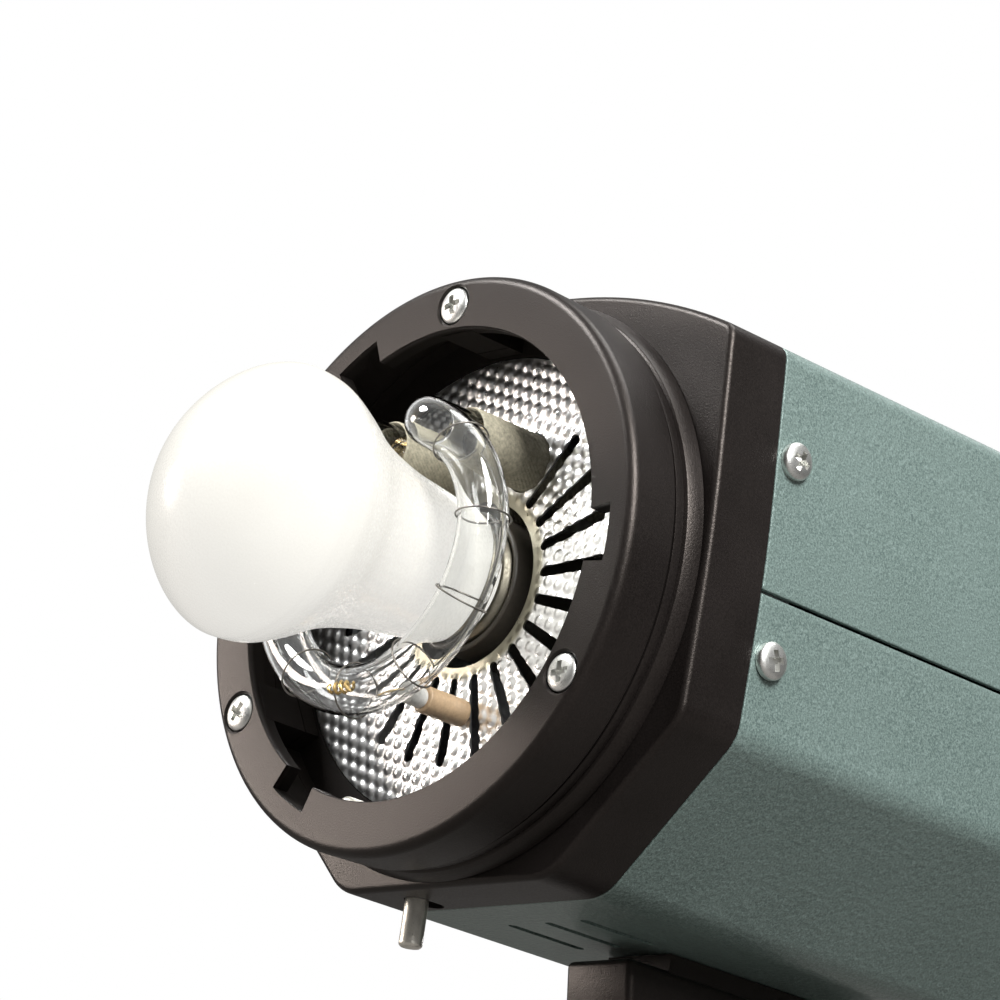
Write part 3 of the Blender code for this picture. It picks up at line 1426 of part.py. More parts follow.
def make_dial(name, place):
    """A fluted knob with a pointer, on a shaft that passes the panel."""
    pivot = new_empty(name + "_axis", (place[0], PANEL_BACK, place[1]), head)
    start = DIAL_STAND
    board = CONTROL_BOARD_GAP + PANEL_SHEET - FIT_GAP
    body_radius = DIAL_RADIUS - DIAL_STEP[0]
    profile = [
        (0, -board),
        (DIAL_SHAFT_RADIUS, -board),
        (DIAL_SHAFT_RADIUS, start),
        (DIAL_RADIUS, start),
        (DIAL_RADIUS, start + DIAL_SKIRT),
        (body_radius, start + DIAL_SKIRT + DIAL_STEP[1]),
        (body_radius - DIAL_TAPER, start + DIAL_HEIGHT - DIAL_TOP_EDGE),
        (body_radius - DIAL_TAPER - DIAL_TOP_EDGE, start + DIAL_HEIGHT),
        (0, start + DIAL_HEIGHT),
    ]
    dial = turned(name, profile, 18, knob_black, pivot)
    groove = box(
        name + "_pointer",
        (*DIAL_LINE, DIAL_RADIUS),
        parent=pivot,
        location=(0, start + DIAL_HEIGHT - DIAL_LINE_DEPTH + DIAL_LINE[1] / 2, DIAL_RADIUS * 0.62),
    )
    cut(dial, groove)


def make_rocker(name, place):
    """A rocker with a bent face, on its pin across its length; rest is mid travel."""
    pivot = new_empty(name + "_axis", (place[0], PANEL_BACK - PANEL_SHEET / 2, place[1]), head)
    foot, waist, tip = (share * (ROCKER_LENGTH / 2 - FIT_GAP) for share in ROCKER_SHARES)
    face = PANEL_SHEET / 2 + ROCKER_RISE
    outline = [
        (-foot, -ROCKER_BELOW),
        (foot, -ROCKER_BELOW),
        (waist, -BREAK),
        (tip, face),
        (0, face - ROCKER_HOLLOW),
        (-tip, face),
        (-waist, -BREAK),
    ]
    plate(name, [outline], ROCKER_WIDTH - 2 * FIT_GAP, knob_black, pivot)


def make_controls():
    make_dial("power_dial", POWER_DIAL_AT)
    make_dial("lamp_dial", LAMP_DIAL_AT)
    make_rocker("mains_switch", MAINS_SWITCH_AT)
    make_rocker("lamp_switch", LAMP_SWITCH_AT)
    button = [
        (0, PANEL_FRONT - BUTTON_STEM),
        (BUTTON_RADIUS, PANEL_FRONT - BUTTON_STEM),
        (BUTTON_RADIUS, PANEL_BACK + BUTTON_STAND - BUTTON_EDGE),
        (BUTTON_RADIUS - BUTTON_EDGE, PANEL_BACK + BUTTON_STAND),
        (0, PANEL_BACK + BUTTON_STAND),
    ]
    turned("test_button", button, 16, button_red, head, (BUTTON_AT[0], 0, BUTTON_AT[1]))
    window = dome_profile(PHOTOCELL_RADIUS, PANEL_FRONT - BREAK, PANEL_BACK + BREAK, PHOTOCELL_RISE)
    turned("photocell", window, 16, lens_smoke, head, (PHOTOCELL_AT[0], 0, PHOTOCELL_AT[1]))
    back = PANEL_BACK + SYNC_SOCKET_STAND
    socket = [
        (SYNC_SOCKET_BORE, back),
        (SYNC_SOCKET_RADIUS + SYNC_SOCKET_NUT, back),
        (SYNC_SOCKET_RADIUS + SYNC_SOCKET_NUT, PANEL_BACK + FIT_GAP),
        (SYNC_SOCKET_RADIUS, PANEL_BACK + FIT_GAP),
        (SYNC_SOCKET_RADIUS, PANEL_FRONT - SYNC_SOCKET_LENGTH),
        (SYNC_SOCKET_BORE, PANEL_FRONT - SYNC_SOCKET_LENGTH),
    ]
    turned("sync_socket", socket, 16, nickel, head, (SYNC_SOCKET_AT[0], 0, SYNC_SOCKET_AT[1]))
    make_fuse()
    make_inlet()


def dome_profile(radius, start, rim, rise):
    """A round window: straight side, domed end."""
    profile = [(0, start), (radius, start)]
    for i in range(4):
        turn = math.pi / 2 * i / 4
        profile.append((radius * math.cos(turn), rim + rise * math.sin(turn)))
    return profile + [(0, rim + rise)]


def make_fuse():
    pivot = new_empty("fuse_cap_axis", (FUSE_AT[0], PANEL_BACK, FUSE_AT[1]), head)
    profile = [
        (0, -PANEL_SHEET - FUSE_STEM),
        (FUSE_RADIUS - FUSE_STEM_STEP, -PANEL_SHEET - FUSE_STEM),
        (FUSE_RADIUS - FUSE_STEM_STEP, FIT_GAP),
        (FUSE_RADIUS + FUSE_RIM, FIT_GAP),
        (FUSE_RADIUS + FUSE_RIM, FUSE_CAP_HEIGHT - FUSE_RIM),
        (FUSE_RADIUS, FUSE_CAP_HEIGHT),
        (0, FUSE_CAP_HEIGHT),
    ]
    cap = turned("fuse_cap", profile, 16, knob_black, pivot)
    driver_slot = box(
        "fuse_cap_slot",
        (2 * (FUSE_RADIUS + FUSE_STEM_STEP), *FUSE_SLOT),
        parent=pivot,
        location=(0, FUSE_CAP_HEIGHT, 0),
    )
    cut(cap, driver_slot)


def make_inlet():
    width, height = INLET_SIZE
    body = box(
        "mains_inlet",
        (width, INLET_DEPTH, height),
        knob_black,
        head,
        (INLET_AT[0], PANEL_BACK + INLET_FLANGE - INLET_DEPTH / 2, INLET_AT[1]),
    )
    flange = box(
        "inlet_flange",
        (width + 2 * INLET_FLANGE, INLET_FLANGE - FIT_GAP, height + 2 * INLET_FLANGE),
        parent=head,
        location=(INLET_AT[0], PANEL_BACK + (INLET_FLANGE + FIT_GAP) / 2, INLET_AT[1]),
    )
    well = box(
        "inlet_well",
        (width - 2 * INLET_WALL, 2 * INLET_WELL, height - 2 * INLET_WALL),
        parent=head,
        location=(INLET_AT[0], PANEL_BACK + INLET_FLANGE, INLET_AT[1]),
    )
    join(body, flange)
    cut(body, well)
    for number, (x, z) in enumerate(INLET_BLADES_AT, 1):
        blade = box(
            f"inlet_blade_{number}",
            INLET_BLADE,
            parent=head,
            location=(INLET_AT[0] + x, PANEL_BACK - INLET_BLADE_DEPTH, INLET_AT[1] + z),
        )
        join(body, blade)


def make_control_board():
    top = CONTROL_BOARD_TOP
    bottom = CHASSIS_FLOOR + CONTROL_BOARD_RISE
    front = PANEL_FRONT - CONTROL_BOARD_GAP - BOARD_SHEET
    board = plate(
        "control_board",
        [lower_board_outline(bottom, top, REAR_WALL + REAR_LEDGE_WIDTH)],
        BOARD_SHEET,
        board_green,
        head,
        (0, front + BOARD_SHEET / 2, 0),
        FACE_FRONT,
    )
    window = box(
        "control_board_window",
        (INLET_SIZE[0] + 2 * CONTROL_BOARD_WINDOW, 6 * BOARD_SHEET, INLET_SIZE[1] + 2 * CONTROL_BOARD_WINDOW),
        parent=head,
        location=(INLET_AT[0], front, INLET_AT[1]),
    )
    cut(board, window)
    for number, (x, z) in enumerate(BOARD_POSTS_AT, 1):
        post = rod(
            f"board_post_{number}",
            BOARD_POST_RADIUS,
            CONTROL_BOARD_GAP + BOARD_SHEET / 2 - FIT_GAP,
            parent=head,
            location=(x, front + BOARD_SHEET / 2, z),
            rotation=TURN_TO_REAR,
            sides=10,
        )
        join(board, post)


def make_fan():
    back = PANEL_FRONT - FIT_GAP
    front = back - FAN_DEPTH
    frame = plate(
        "fan_frame",
        [rectangle(FAN_SIZE, FAN_SIZE), circle(FAN_BORE, 32)],
        FAN_DEPTH,
        knob_black,
        head,
        (0, (front + back) / 2, FAN_Z),
        FACE_FRONT,
    )
    span = 2 * (FAN_BORE + BREAK)
    for number, (width, height) in enumerate(((span, FAN_STRUT), (FAN_STRUT, span)), 1):
        strut = box(
            f"fan_strut_{number}",
            (width, FAN_STRUT_DEPTH, height),
            parent=head,
            location=(0, front + FAN_STRUT_BACK + FAN_STRUT_DEPTH / 2, FAN_Z),
        )
        join(frame, strut)
    motor = rod(
        "fan_motor",
        FAN_HUB * FAN_MOTOR_SHARE,
        FAN_MOTOR,
        parent=head,
        location=(0, front, FAN_Z),
        rotation=TURN_TO_REAR,
    )
    join(frame, motor)
    pivot = new_empty("fan_axis", (0, front + FAN_MOTOR + FIT_GAP, FAN_Z), head)
    hub_depth = FAN_DEPTH - FAN_HUB_ROOM - FIT_GAP
    profile = [
        (0, 0),
        (FAN_HUB, 0),
        (FAN_HUB, hub_depth - FAN_HUB_EDGE),
        (FAN_HUB - FAN_HUB_EDGE, hub_depth),
        (0, hub_depth),
    ]
    rotor = turned("fan_rotor", profile, 24, knob_black, pivot)
    root = FAN_HUB * FAN_BLADE_ROOT
    reach = FAN_BLADE_TIP - root
    for i in range(FAN_BLADES):
        arm = new_empty(f"blade_arm_{i + 1}", (0, hub_depth / 2, 0), pivot)
        arm.rotation_euler = (0, 2 * math.pi * i / FAN_BLADES, 0)
        blade = box(
            f"fan_blade_{i + 1}",
            (*FAN_BLADE, reach),
            parent=arm,
            location=(0, 0, root + reach / 2),
            rotation=(0, 0, math.radians(FAN_BLADE_PITCH)),
        )
        join(rotor, blade)


# Bracket

def make_lug():
    pivot_y, pivot_z = PIVOT_BEHIND_FACE, -HEAD_ABOVE_PIVOT
    outline = [(LUG_FRONT, LUG_TOP), (LUG_FRONT + LUG_LEAN, LUG_SHOULDER)]
    for i in range(9):
        turn = math.radians(200 + 140 * i / 8)
        across, up = LUG_BOSS_RADIUS * math.cos(turn), LUG_BOSS_RADIUS * math.sin(turn)
        outline.append((pivot_y + across, pivot_z + up))
    outline += [(LUG_BACK, LUG_SHOULDER + LUG_BACK_RISE), (LUG_BACK, LUG_TOP)]
    lug = plate("bracket_lug", [outline], LUG_WIDTH, satin_black, head, rotation=FACE_SIDE)
    round_edges(lug, LUG_EDGE_ROUND)
    pad_top = SECTION_BOTTOM - FIT_GAP
    pad = box(
        "lug_pad",
        (LUG_WIDTH - 2 * LUG_PAD_INSET, LUG_PAD_BACK - LUG_PAD_FRONT, pad_top - LUG_TOP + LUG_PAD_SINK),
        parent=head,
        location=(0, (LUG_PAD_FRONT + LUG_PAD_BACK) / 2, (pad_top + LUG_TOP - LUG_PAD_SINK) / 2),
    )
    join(lug, pad)
    bore = round_hole(
        "lug_bore", TILT_BOLT_RADIUS + FIT_GAP, 2 * LUG_WIDTH, head, (0, pivot_y, pivot_z), POINT_RIGHT, 20
    )
    cut(lug, bore)
    for number, depth in enumerate(LUG_BOLT_DEPTHS, 1):
        head_seat = CHASSIS_FLOOR + FIT_GAP
        bolt_hole = round_hole(
            f"lug_bolt_hole_{number}",
            LUG_BOLT_RADIUS + FIT_GAP,
            2 * (LUG_BOLT_REACH + FIT_GAP),
            head,
            (0, depth, head_seat),
            POINT_UP,
            14,
        )
        cut(lug, bolt_hole)
        profile = [
            (0, LUG_BOLT_HEAD),
            (LUG_BOLT_HEAD_RADIUS, LUG_BOLT_HEAD),
            (LUG_BOLT_HEAD_RADIUS, 0),
            (LUG_BOLT_RADIUS, 0),
            (LUG_BOLT_RADIUS, -LUG_BOLT_REACH),
            (0, -LUG_BOLT_REACH),
        ]
        turned(f"lug_bolt_{number}", profile, 14, zinc, head, (0, depth, head_seat), POINT_UP)


def cheek_start():
    """Where the inside face of a fork cheek stands."""
    return LUG_WIDTH / 2 + WASHER + 2 * FIT_GAP


def make_stand_fork():
    half = cheek_start() + CHEEK
    base_top = PIVOT_HEIGHT - FORK_FLOOR
    profile = [
        (0, SOCKET_DEPTH),
        (SOCKET_BORE, SOCKET_DEPTH),
        (SOCKET_BORE, SOCKET_LEAD_IN),
        (SOCKET_BORE + SOCKET_LEAD_IN, 0),
        (COLUMN_RADIUS - COLUMN_EDGE, 0),
        (COLUMN_RADIUS, COLUMN_EDGE),
        (COLUMN_RADIUS, base_top - COLUMN_SINK),
        (0, base_top - COLUMN_SINK),
    ]
    fork = turned("stand_fork", profile, 24, satin_black, None, rotation=POINT_UP)
    outline = []
    for i in range(9):
        turn = math.pi * i / 8
        outline.append((CHEEK_RADIUS * math.cos(turn), PIVOT_HEIGHT + CHEEK_RADIUS * math.sin(turn)))
    foot_y, foot_z = CHEEK_RADIUS - CHEEK_FOOT[0], base_top - CHEEK_FOOT[1]
    outline += [(-foot_y, foot_z), (foot_y, foot_z)]
    block = plate("fork_block", [outline], 2 * half, rotation=FACE_SIDE)
    round_edges(block, CHEEK_EDGE_ROUND, 1)
    gap = box(
        "fork_gap",
        (2 * cheek_start(), 4 * CHEEK_RADIUS, 2 * CHEEK_RADIUS + FORK_FLOOR),
        location=(0, 0, base_top + (2 * CHEEK_RADIUS + FORK_FLOOR) / 2),
    )
    bore = round_hole(
        "fork_bore", TILT_BOLT_RADIUS + FIT_GAP, 4 * half, None, (0, 0, PIVOT_HEIGHT), POINT_RIGHT, 20
    )
    screw_way = rod(
        "knob_screw_way", KNOB_SCREW_RADIUS + FIT_GAP, 2 * COLUMN_RADIUS, None, None,
        (0, 0, KNOB_HEIGHT), POINT_LEFT, 20
    )
    join(fork, block)
    cut(fork, gap, bore, screw_way)


def make_tilt_hardware():
    for side, word in ((-1, "left"), (1, "right")):
        inner = LUG_WIDTH / 2 + FIT_GAP
        start = inner if side > 0 else -inner - WASHER
        washer = [
            (TILT_BOLT_RADIUS + FIT_GAP, 0),
            (WASHER_RADIUS, 0),
            (WASHER_RADIUS, WASHER),
            (TILT_BOLT_RADIUS + FIT_GAP, WASHER),
        ]
        turned(f"friction_washer_{word}", washer, 18, fibre, None, (start, 0, PIVOT_HEIGHT), POINT_RIGHT)
    half = cheek_start() + CHEEK
    pivot = new_empty("clamp_axis", (0, 0, PIVOT_HEIGHT))
    left = -half - FIT_GAP
    right = half + FIT_GAP
    end = right + HANDLE_HUB - HANDLE_HUB_FLOOR
    bolt = [
        (0, left - TILT_BOLT_HEAD),
        (TILT_BOLT_HEAD_RADIUS - TILT_BOLT_EDGE, left - TILT_BOLT_HEAD),
        (TILT_BOLT_HEAD_RADIUS, left - TILT_BOLT_HEAD + TILT_BOLT_EDGE),
        (TILT_BOLT_HEAD_RADIUS, left),
        (TILT_BOLT_RADIUS, left),
        (TILT_BOLT_RADIUS, end),
        (0, end),
    ]
    turned("tilt_bolt", bolt, 20, zinc, pivot, rotation=POINT_RIGHT)
    hub = [
        (0, end + FIT_GAP),
        (TILT_BOLT_RADIUS + FIT_GAP, end + FIT_GAP),
        (TILT_BOLT_RADIUS + FIT_GAP, right),
        (HANDLE_HUB_RADIUS, right),
        (HANDLE_HUB_RADIUS, right + HANDLE_HUB - HANDLE_HUB_EDGE),
        (HANDLE_HUB_RADIUS - HANDLE_HUB_EDGE, right + HANDLE_HUB),
        (0, right + HANDLE_HUB),
    ]
    handle = turned("tilt_handle", hub, 20, knob_black, pivot, rotation=POINT_RIGHT)
    middle = right + HANDLE_HUB / 2
    length = HANDLE_LENGTH
    lever = [
        (0, 0),
        (HANDLE_RADIUS * 0.8, 0),
        (HANDLE_RADIUS, -length * 0.45),
        (HANDLE_RADIUS * 1.15, -length * 0.85),
        (HANDLE_RADIUS * 0.8, -length),
        (0, -length),
    ]
    start_z = -HANDLE_HUB_RADIUS + HANDLE_ROOT
    arm = turned(
        "handle_arm", lever, 16, None, pivot, (middle, 0, start_z), (0, math.radians(-HANDLE_LEAN), 0)
    )
    join(handle, arm)


def make_socket_knob():
    pivot = new_empty("knob_axis", (0, 0, KNOB_HEIGHT))
    tip = SOCKET_BORE + FIT_GAP
    neck = COLUMN_RADIUS + FIT_GAP
    face = neck + KNOB_NECK
    back = face + KNOB_LENGTH
    profile = [
        (0, tip),
        (KNOB_SCREW_RADIUS, tip),
        (KNOB_SCREW_RADIUS, neck),
        (KNOB_SCREW_RADIUS + KNOB_NECK_WALL, neck),
        (KNOB_SCREW_RADIUS + KNOB_NECK_WALL, face),
        (KNOB_RADIUS - KNOB_INNER_EDGE, face),
        (KNOB_RADIUS, face + KNOB_INNER_EDGE),
        (KNOB_RADIUS, back - KNOB_OUTER_EDGE),
        (KNOB_RADIUS - KNOB_OUTER_EDGE, back),
        (0, back),
    ]
    knob = turned("socket_knob", profile, 20, knob_black, pivot, rotation=POINT_LEFT)
    for i in range(KNOB_FLUTES):
        turn = 2 * math.pi * i / KNOB_FLUTES
        reach = KNOB_RADIUS + KNOB_FLUTE_RADIUS * 0.45
        flute = rod(
            f"knob_flute_{i + 1}",
            KNOB_FLUTE_RADIUS,
            KNOB_LENGTH + 2 * CUT_DEPTH,
            None,
            pivot,
            (-face + CUT_DEPTH, reach * math.cos(turn), reach * math.sin(turn)),
            POINT_LEFT,
            10,
        )
        cut(knob, flute)


def shade_parts():
    """Fixes each part's shape from its modifiers, then smooths its round faces."""
    graph = bpy.context.evaluated_depsgraph_get()
    made = []
    for item in parts.objects:
        if item.type == "MESH":
            made.append((item, bpy.data.meshes.new_from_object(item.evaluated_get(graph))))
    for item, mesh in made:
        item.modifiers.clear()
        item.data = mesh
        mesh.name = item.name
        mesh.shade_smooth()
        mesh.set_sharp_from_angle(angle=math.radians(32))


clear_scene()
parts = new_collection("studio_flash")
helpers = new_collection("cutters")

green_paint = new_material("green_paint", (0.17, 0.235, 0.21), 0.5, 0.2)
satin_black = new_material("satin_black", (0.03, 0.026, 0.025), 0.42)
knob_black = new_material("knob_black", (0.02, 0.02, 0.021), 0.5)
panel_grey = new_material("panel_grey", (0.09, 0.1, 0.1), 0.5)
zinc = new_material("zinc_steel", (0.72, 0.71, 0.68), 0.28, 1.0)
steel = new_material("bright_steel", (0.6, 0.59, 0.56), 0.3, 1.0)
nickel = new_material("nickel", (0.7, 0.68, 0.64), 0.25, 1.0)
brass = new_material("brass", (0.7, 0.5, 0.22), 0.3, 1.0)
aluminium = new_material("aluminium", (0.75, 0.75, 0.74), 0.38, 1.0)
stucco = new_material("stucco_aluminium", (0.86, 0.86, 0.84), 0.22, 1.0)
opal = new_material("opal_glass", (0.93, 0.92, 0.88), 0.25)
glass = new_material("clear_glass", (0.95, 0.96, 0.95), 0.03, 0.0, 0.35)
khaki = new_material("sleeve_khaki", (0.25, 0.23, 0.18), 0.6)
ceramic = new_material("ceramic_white", (0.7, 0.67, 0.6), 0.5)
ceramic_tan = new_material("ceramic_tan", (0.6, 0.45, 0.3), 0.6)
wire_metal = new_material("trigger_wire", (0.35, 0.3, 0.22), 0.35, 1.0)
coil_resin = new_material("coil_resin", (0.12, 0.05, 0.03), 0.4)
can_sleeve = new_material("can_sleeve", (0.03, 0.05, 0.12), 0.4)
board_green = new_material("board_green", (0.03, 0.16, 0.06), 0.5)
button_red = new_material("button_red", (0.5, 0.03, 0.02), 0.4)
lens_smoke = new_material("lens_smoke", (0.08, 0.02, 0.02), 0.1)
fibre = new_material("washer_fibre", (0.2, 0.1, 0.06), 0.8)

tilt_axis = new_empty("tilt_axis", (0, 0, PIVOT_HEIGHT))
head = new_empty("head_frame", (0, -PIVOT_BEHIND_FACE, HEAD_ABOVE_PIVOT), tilt_axis)

make_bayonet_ring()
make_bayonet_collar()
make_front_bezel()
make_latch()
make_reflector_pan()
make_lamp()
make_lamp_holder()
make_flash_tube()
make_tube_mounts()
make_trigger_wire()
make_body()
make_front_frame()
make_capacitors()
make_power_board()
make_rear()
make_controls()
make_control_board()
make_fan()
make_lug()
make_stand_fork()
make_tilt_hardware()
make_socket_knob()
shade_parts()
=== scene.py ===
import json
from math import asin, atan2, copysign, cos, degrees, hypot, pi, radians, sin, sqrt, tan

import bmesh
import bpy
from mathutils import Matrix, Vector


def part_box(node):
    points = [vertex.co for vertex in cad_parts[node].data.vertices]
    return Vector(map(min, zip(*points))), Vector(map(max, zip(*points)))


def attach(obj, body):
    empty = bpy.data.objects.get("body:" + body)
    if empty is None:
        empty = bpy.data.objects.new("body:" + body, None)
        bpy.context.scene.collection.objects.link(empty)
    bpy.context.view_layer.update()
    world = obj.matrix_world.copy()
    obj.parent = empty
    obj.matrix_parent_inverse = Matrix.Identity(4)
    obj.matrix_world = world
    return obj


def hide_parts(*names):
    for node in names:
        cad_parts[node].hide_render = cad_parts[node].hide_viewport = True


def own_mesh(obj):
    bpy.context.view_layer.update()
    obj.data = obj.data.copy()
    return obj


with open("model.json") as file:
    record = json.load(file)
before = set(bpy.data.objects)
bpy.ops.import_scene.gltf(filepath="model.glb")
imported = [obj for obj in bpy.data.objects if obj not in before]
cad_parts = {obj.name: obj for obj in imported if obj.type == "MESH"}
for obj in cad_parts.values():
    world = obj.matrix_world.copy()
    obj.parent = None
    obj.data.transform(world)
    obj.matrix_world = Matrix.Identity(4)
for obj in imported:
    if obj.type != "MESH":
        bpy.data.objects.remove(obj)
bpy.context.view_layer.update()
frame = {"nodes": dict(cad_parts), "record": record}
print("frame loaded")

mm = 0.001
gap = 0.3                       # running gap between neighbours, mm
headAt = Vector((0, -105, 176)) # ring face centre over the stand socket, mm
shift = Matrix.Translation


# shaping

facings = {                     # turns that point a lathe's axis or a slab's thickness
    "back": (-90, 0, 0), "front": (90, 0, 0), "side": (90, 0, 90),
    "right": (0, 90, 0), "left": (0, -90, 0), "up": (0, 0, 0),
}


def rotate(angle, axis):
    return Matrix.Rotation(radians(angle), 4, axis)


def camel(name):
    first, *others = name.split("_")
    return first + "".join(word.capitalize() for word in others)


def newObject(name, data):
    item = bpy.data.objects.new(name, data)
    bpy.context.scene.collection.objects.link(item)
    return item


def toPiece(name, bm, place=(0, 0, 0), facing="up", origin=headAt, spin=0.0, recalculate=True):
    # from a mesh in mm round its own zero to an object in the frame's metres
    if recalculate:
        bmesh.ops.recalc_face_normals(bm, faces=bm.faces)
    x, y, z = facings[facing]
    turn = rotate(z, "Z") @ rotate(y, "Y") @ rotate(x, "X")
    bm.transform(Matrix.Scale(mm, 4) @ shift(origin) @ rotate(spin, "Y") @ shift(place) @ turn)
    mesh = bpy.data.meshes.new(name)
    bm.to_mesh(mesh)
    bm.free()
    return newObject(name, mesh)


def evaluated(item):
    return bpy.data.meshes.new_from_object(item.evaluated_get(bpy.context.evaluated_depsgraph_get()))


def absorb(bm, mesh):
    bm.from_mesh(mesh)
    bpy.data.meshes.remove(mesh)


def bridge(bm, rings, capped=False):
    # faces between each ring of vertices and the next
    for low, high in zip(rings, rings[1:]):
        for i in range(len(low)):
            k = (i + 1) % len(low)
            corners = list(dict.fromkeys((low[i], low[k], high[k], high[i])))
            if len(corners) > 2:
                bm.faces.new(corners)
    if capped:
        bm.faces.new(rings[0][::-1])
        bm.faces.new(rings[-1])


def circle(radius, steps=48, centre=(0, 0)):
    turns = [2 * pi * i / steps for i in range(steps)]
    return [(centre[0] + radius * cos(t), centre[1] + radius * sin(t)) for t in turns]


def arc(centre, radius, start, sweep, steps):
    turns = [radians(start + sweep * i / steps) for i in range(steps + 1)]
    return [(centre[0] + radius * cos(t), centre[1] + radius * sin(t)) for t in turns]


def clock(radius, angle):
    # a point at a clock angle from the top, seen from the front
    return radius * sin(radians(angle)), radius * cos(radians(angle))


def rodProfile(radius, low, high):
    return [(0, low), (radius, low), (radius, high), (0, high)]


def lathe(name, profile, place=(0, 0, 0), facing="back", steps=96, origin=headAt):
    # profile is (radius, height); it closes on itself, or starts and ends on the axis
    bm = bmesh.new()
    rings = []
    for radius, height in profile:
        if radius < 1e-6:
            rings.append([bm.verts.new((0, 0, height))] * steps)
        else:
            rings.append([bm.verts.new((u, v, height)) for u, v in circle(radius, steps)])
    if min(r for r, h in profile) > 1e-6:
        rings.append(rings[0])
    bridge(bm, rings)
    return toPiece(name, bm, place, facing, origin)


def soften(profile, radius, steps=3):
    # rounds every corner of a profile that is off the axis
    out = []
    count = len(profile)
    closed = min(r for r, h in profile) > 1e-6
    for i, point in enumerate(profile):
        if not closed and i in (0, count - 1):
            out.append(point)
            continue
        here = Vector(point)
        before, after = Vector(profile[i - 1]) - here, Vector(profile[(i + 1) % count]) - here
        reach = min(radius, before.length * 0.45, after.length * 0.45)
        a, b = here + before.normalized() * reach, here + after.normalized() * reach
        for t in (k / steps for k in range(steps + 1)):
            out.append(tuple(a * (1 - t) ** 2 + here * 2 * t * (1 - t) + b * t ** 2))
    return out


def smoothPath(points, steps=8):
    # a smooth curve through the points
    points = [Vector(p) for p in points]
    ends = [points[0] * 2 - points[1]] + points + [points[-1] * 2 - points[-2]]
    out = []
    for i in range(1, len(ends) - 2):
        a, b, c, d = ends[i - 1:i + 3]
        for t in (k / steps for k in range(steps)):
            out.append(0.5 * (2 * b + (c - a) * t + (2 * a - 5 * b + 4 * c - d) * t ** 2
                              + (3 * b - a - 3 * c + d) * t ** 3))
    return out + [points[-1]]


def slab(name, outlines, thickness, place=(0, 0, 0), facing="front", origin=headAt, spin=0.0):
    # flat outlines, the later ones holes, drawn evenly to both sides of the place
    curve = bpy.data.curves.new(name, "CURVE")
    curve.dimensions, curve.fill_mode, curve.extrude = "2D", "BOTH", thickness / 2
    for outline in outlines:
        spline = curve.splines.new("POLY")
        spline.points.add(len(outline) - 1)
        for point, (u, v) in zip(spline.points, outline):
            point.co = (u, v, 0, 1)
        spline.use_cyclic_u = True
    guide = newObject("guide", curve)
    bm = bmesh.new()
    absorb(bm, evaluated(guide))
    bpy.data.objects.remove(guide)
    bmesh.ops.remove_doubles(bm, verts=bm.verts, dist=0.001)
    bmesh.ops.dissolve_limit(bm, angle_limit=0.001, verts=bm.verts, edges=bm.edges)
    return toPiece(name, bm, place, facing, origin, spin)


def addCube(bm, size, matrix=Matrix()):
    bmesh.ops.create_cube(bm, size=1.0, matrix=matrix @ Matrix.Diagonal((*size, 1.0)))


def block(name, size, place=(0, 0, 0), origin=headAt, spin=0.0):
    bm = bmesh.new()
    addCube(bm, size)
    return toPiece(name, bm, place, "up", origin, spin)


def blockBetween(name, width, low, high, bottom, top, spin=0.0):
    place = (0, (low + high) / 2, (top + bottom) / 2)
    return block(name, (width, high - low, top - bottom), place, spin=spin)


def drill(radius, length, place, facing="front", steps=48, origin=headAt):
    return lathe("drill", rodProfile(radius, -length / 2, length / 2), place, facing, steps, origin)


def wireMesh(points, radius, sides=12):
    # a round wire along points in mm, its frames carried along so that it doesn't twist
    bm = bmesh.new()
    points = [Vector(p) for p in points]
    last = len(points) - 1
    along = [(points[min(i + 1, last)] - points[max(i - 1, 0)]).normalized() for i in range(last + 1)]
    normal = along[0].orthogonal().normalized()
    rings = []
    for point, ahead in zip(points, along):
        normal = (normal - ahead * normal.dot(ahead)).normalized()
        side = ahead.cross(normal)
        rings.append([bm.verts.new(point + radius * (normal * u + side * v)) for u, v in circle(1, sides)])
    bridge(bm, rings, True)
    return bm


def wire(name, points, radius, sides=12):
    return toPiece(name, wireMesh(points, radius, sides))


def settle(piece):
    # fixes the shape that the modifiers give
    mesh = evaluated(piece)
    piece.modifiers.clear()
    old, piece.data = piece.data, mesh
    bpy.data.meshes.remove(old)
    return piece


def combine(piece, operation, others):
    for other in others:
        step = piece.modifiers.new("combine", "BOOLEAN")
        step.operation, step.object = operation, other
    settle(piece)
    for other in others:
        bpy.data.objects.remove(other)


def cut(piece, *others):
    combine(piece, "DIFFERENCE", others)


def join(piece, *others):
    combine(piece, "UNION", others)


def easeEdges(piece, width, segments=3, angle=35):
    # rounds the sharp edges, or with no angle the edges that have a weight
    rounding = piece.modifiers.new("ease", "BEVEL")
    rounding.width, rounding.segments = width * mm, segments
    rounding.limit_method = "ANGLE" if angle else "WEIGHT"
    if angle:
        rounding.angle_limit = radians(angle)
    return settle(piece)


def fit(piece, look, body, *nodes, slot=None, sharp=32):
    # gives the piece its finish, its body and the CAD nodes that it stands for; its slot is not used
    piece.data.materials.clear()
    piece.data.materials.append(finishes[look])
    piece.data.shade_smooth()
    piece.data.set_sharp_from_angle(angle=radians(sharp))
    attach(piece, body)
    if nodes:
        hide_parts(*nodes)


def longHole(start, end, width, steps=8):
    first, last = Vector(start), Vector(end)
    along = (last - first).normalized()
    across = Vector((-along.y, along.x))
    points = []
    for centre, side in ((last, 1), (first, -1)):
        for turn in (pi * i / steps for i in range(steps + 1)):
            points.append(tuple(centre + side * (along * sin(turn) - across * cos(turn)) * width / 2))
    return points


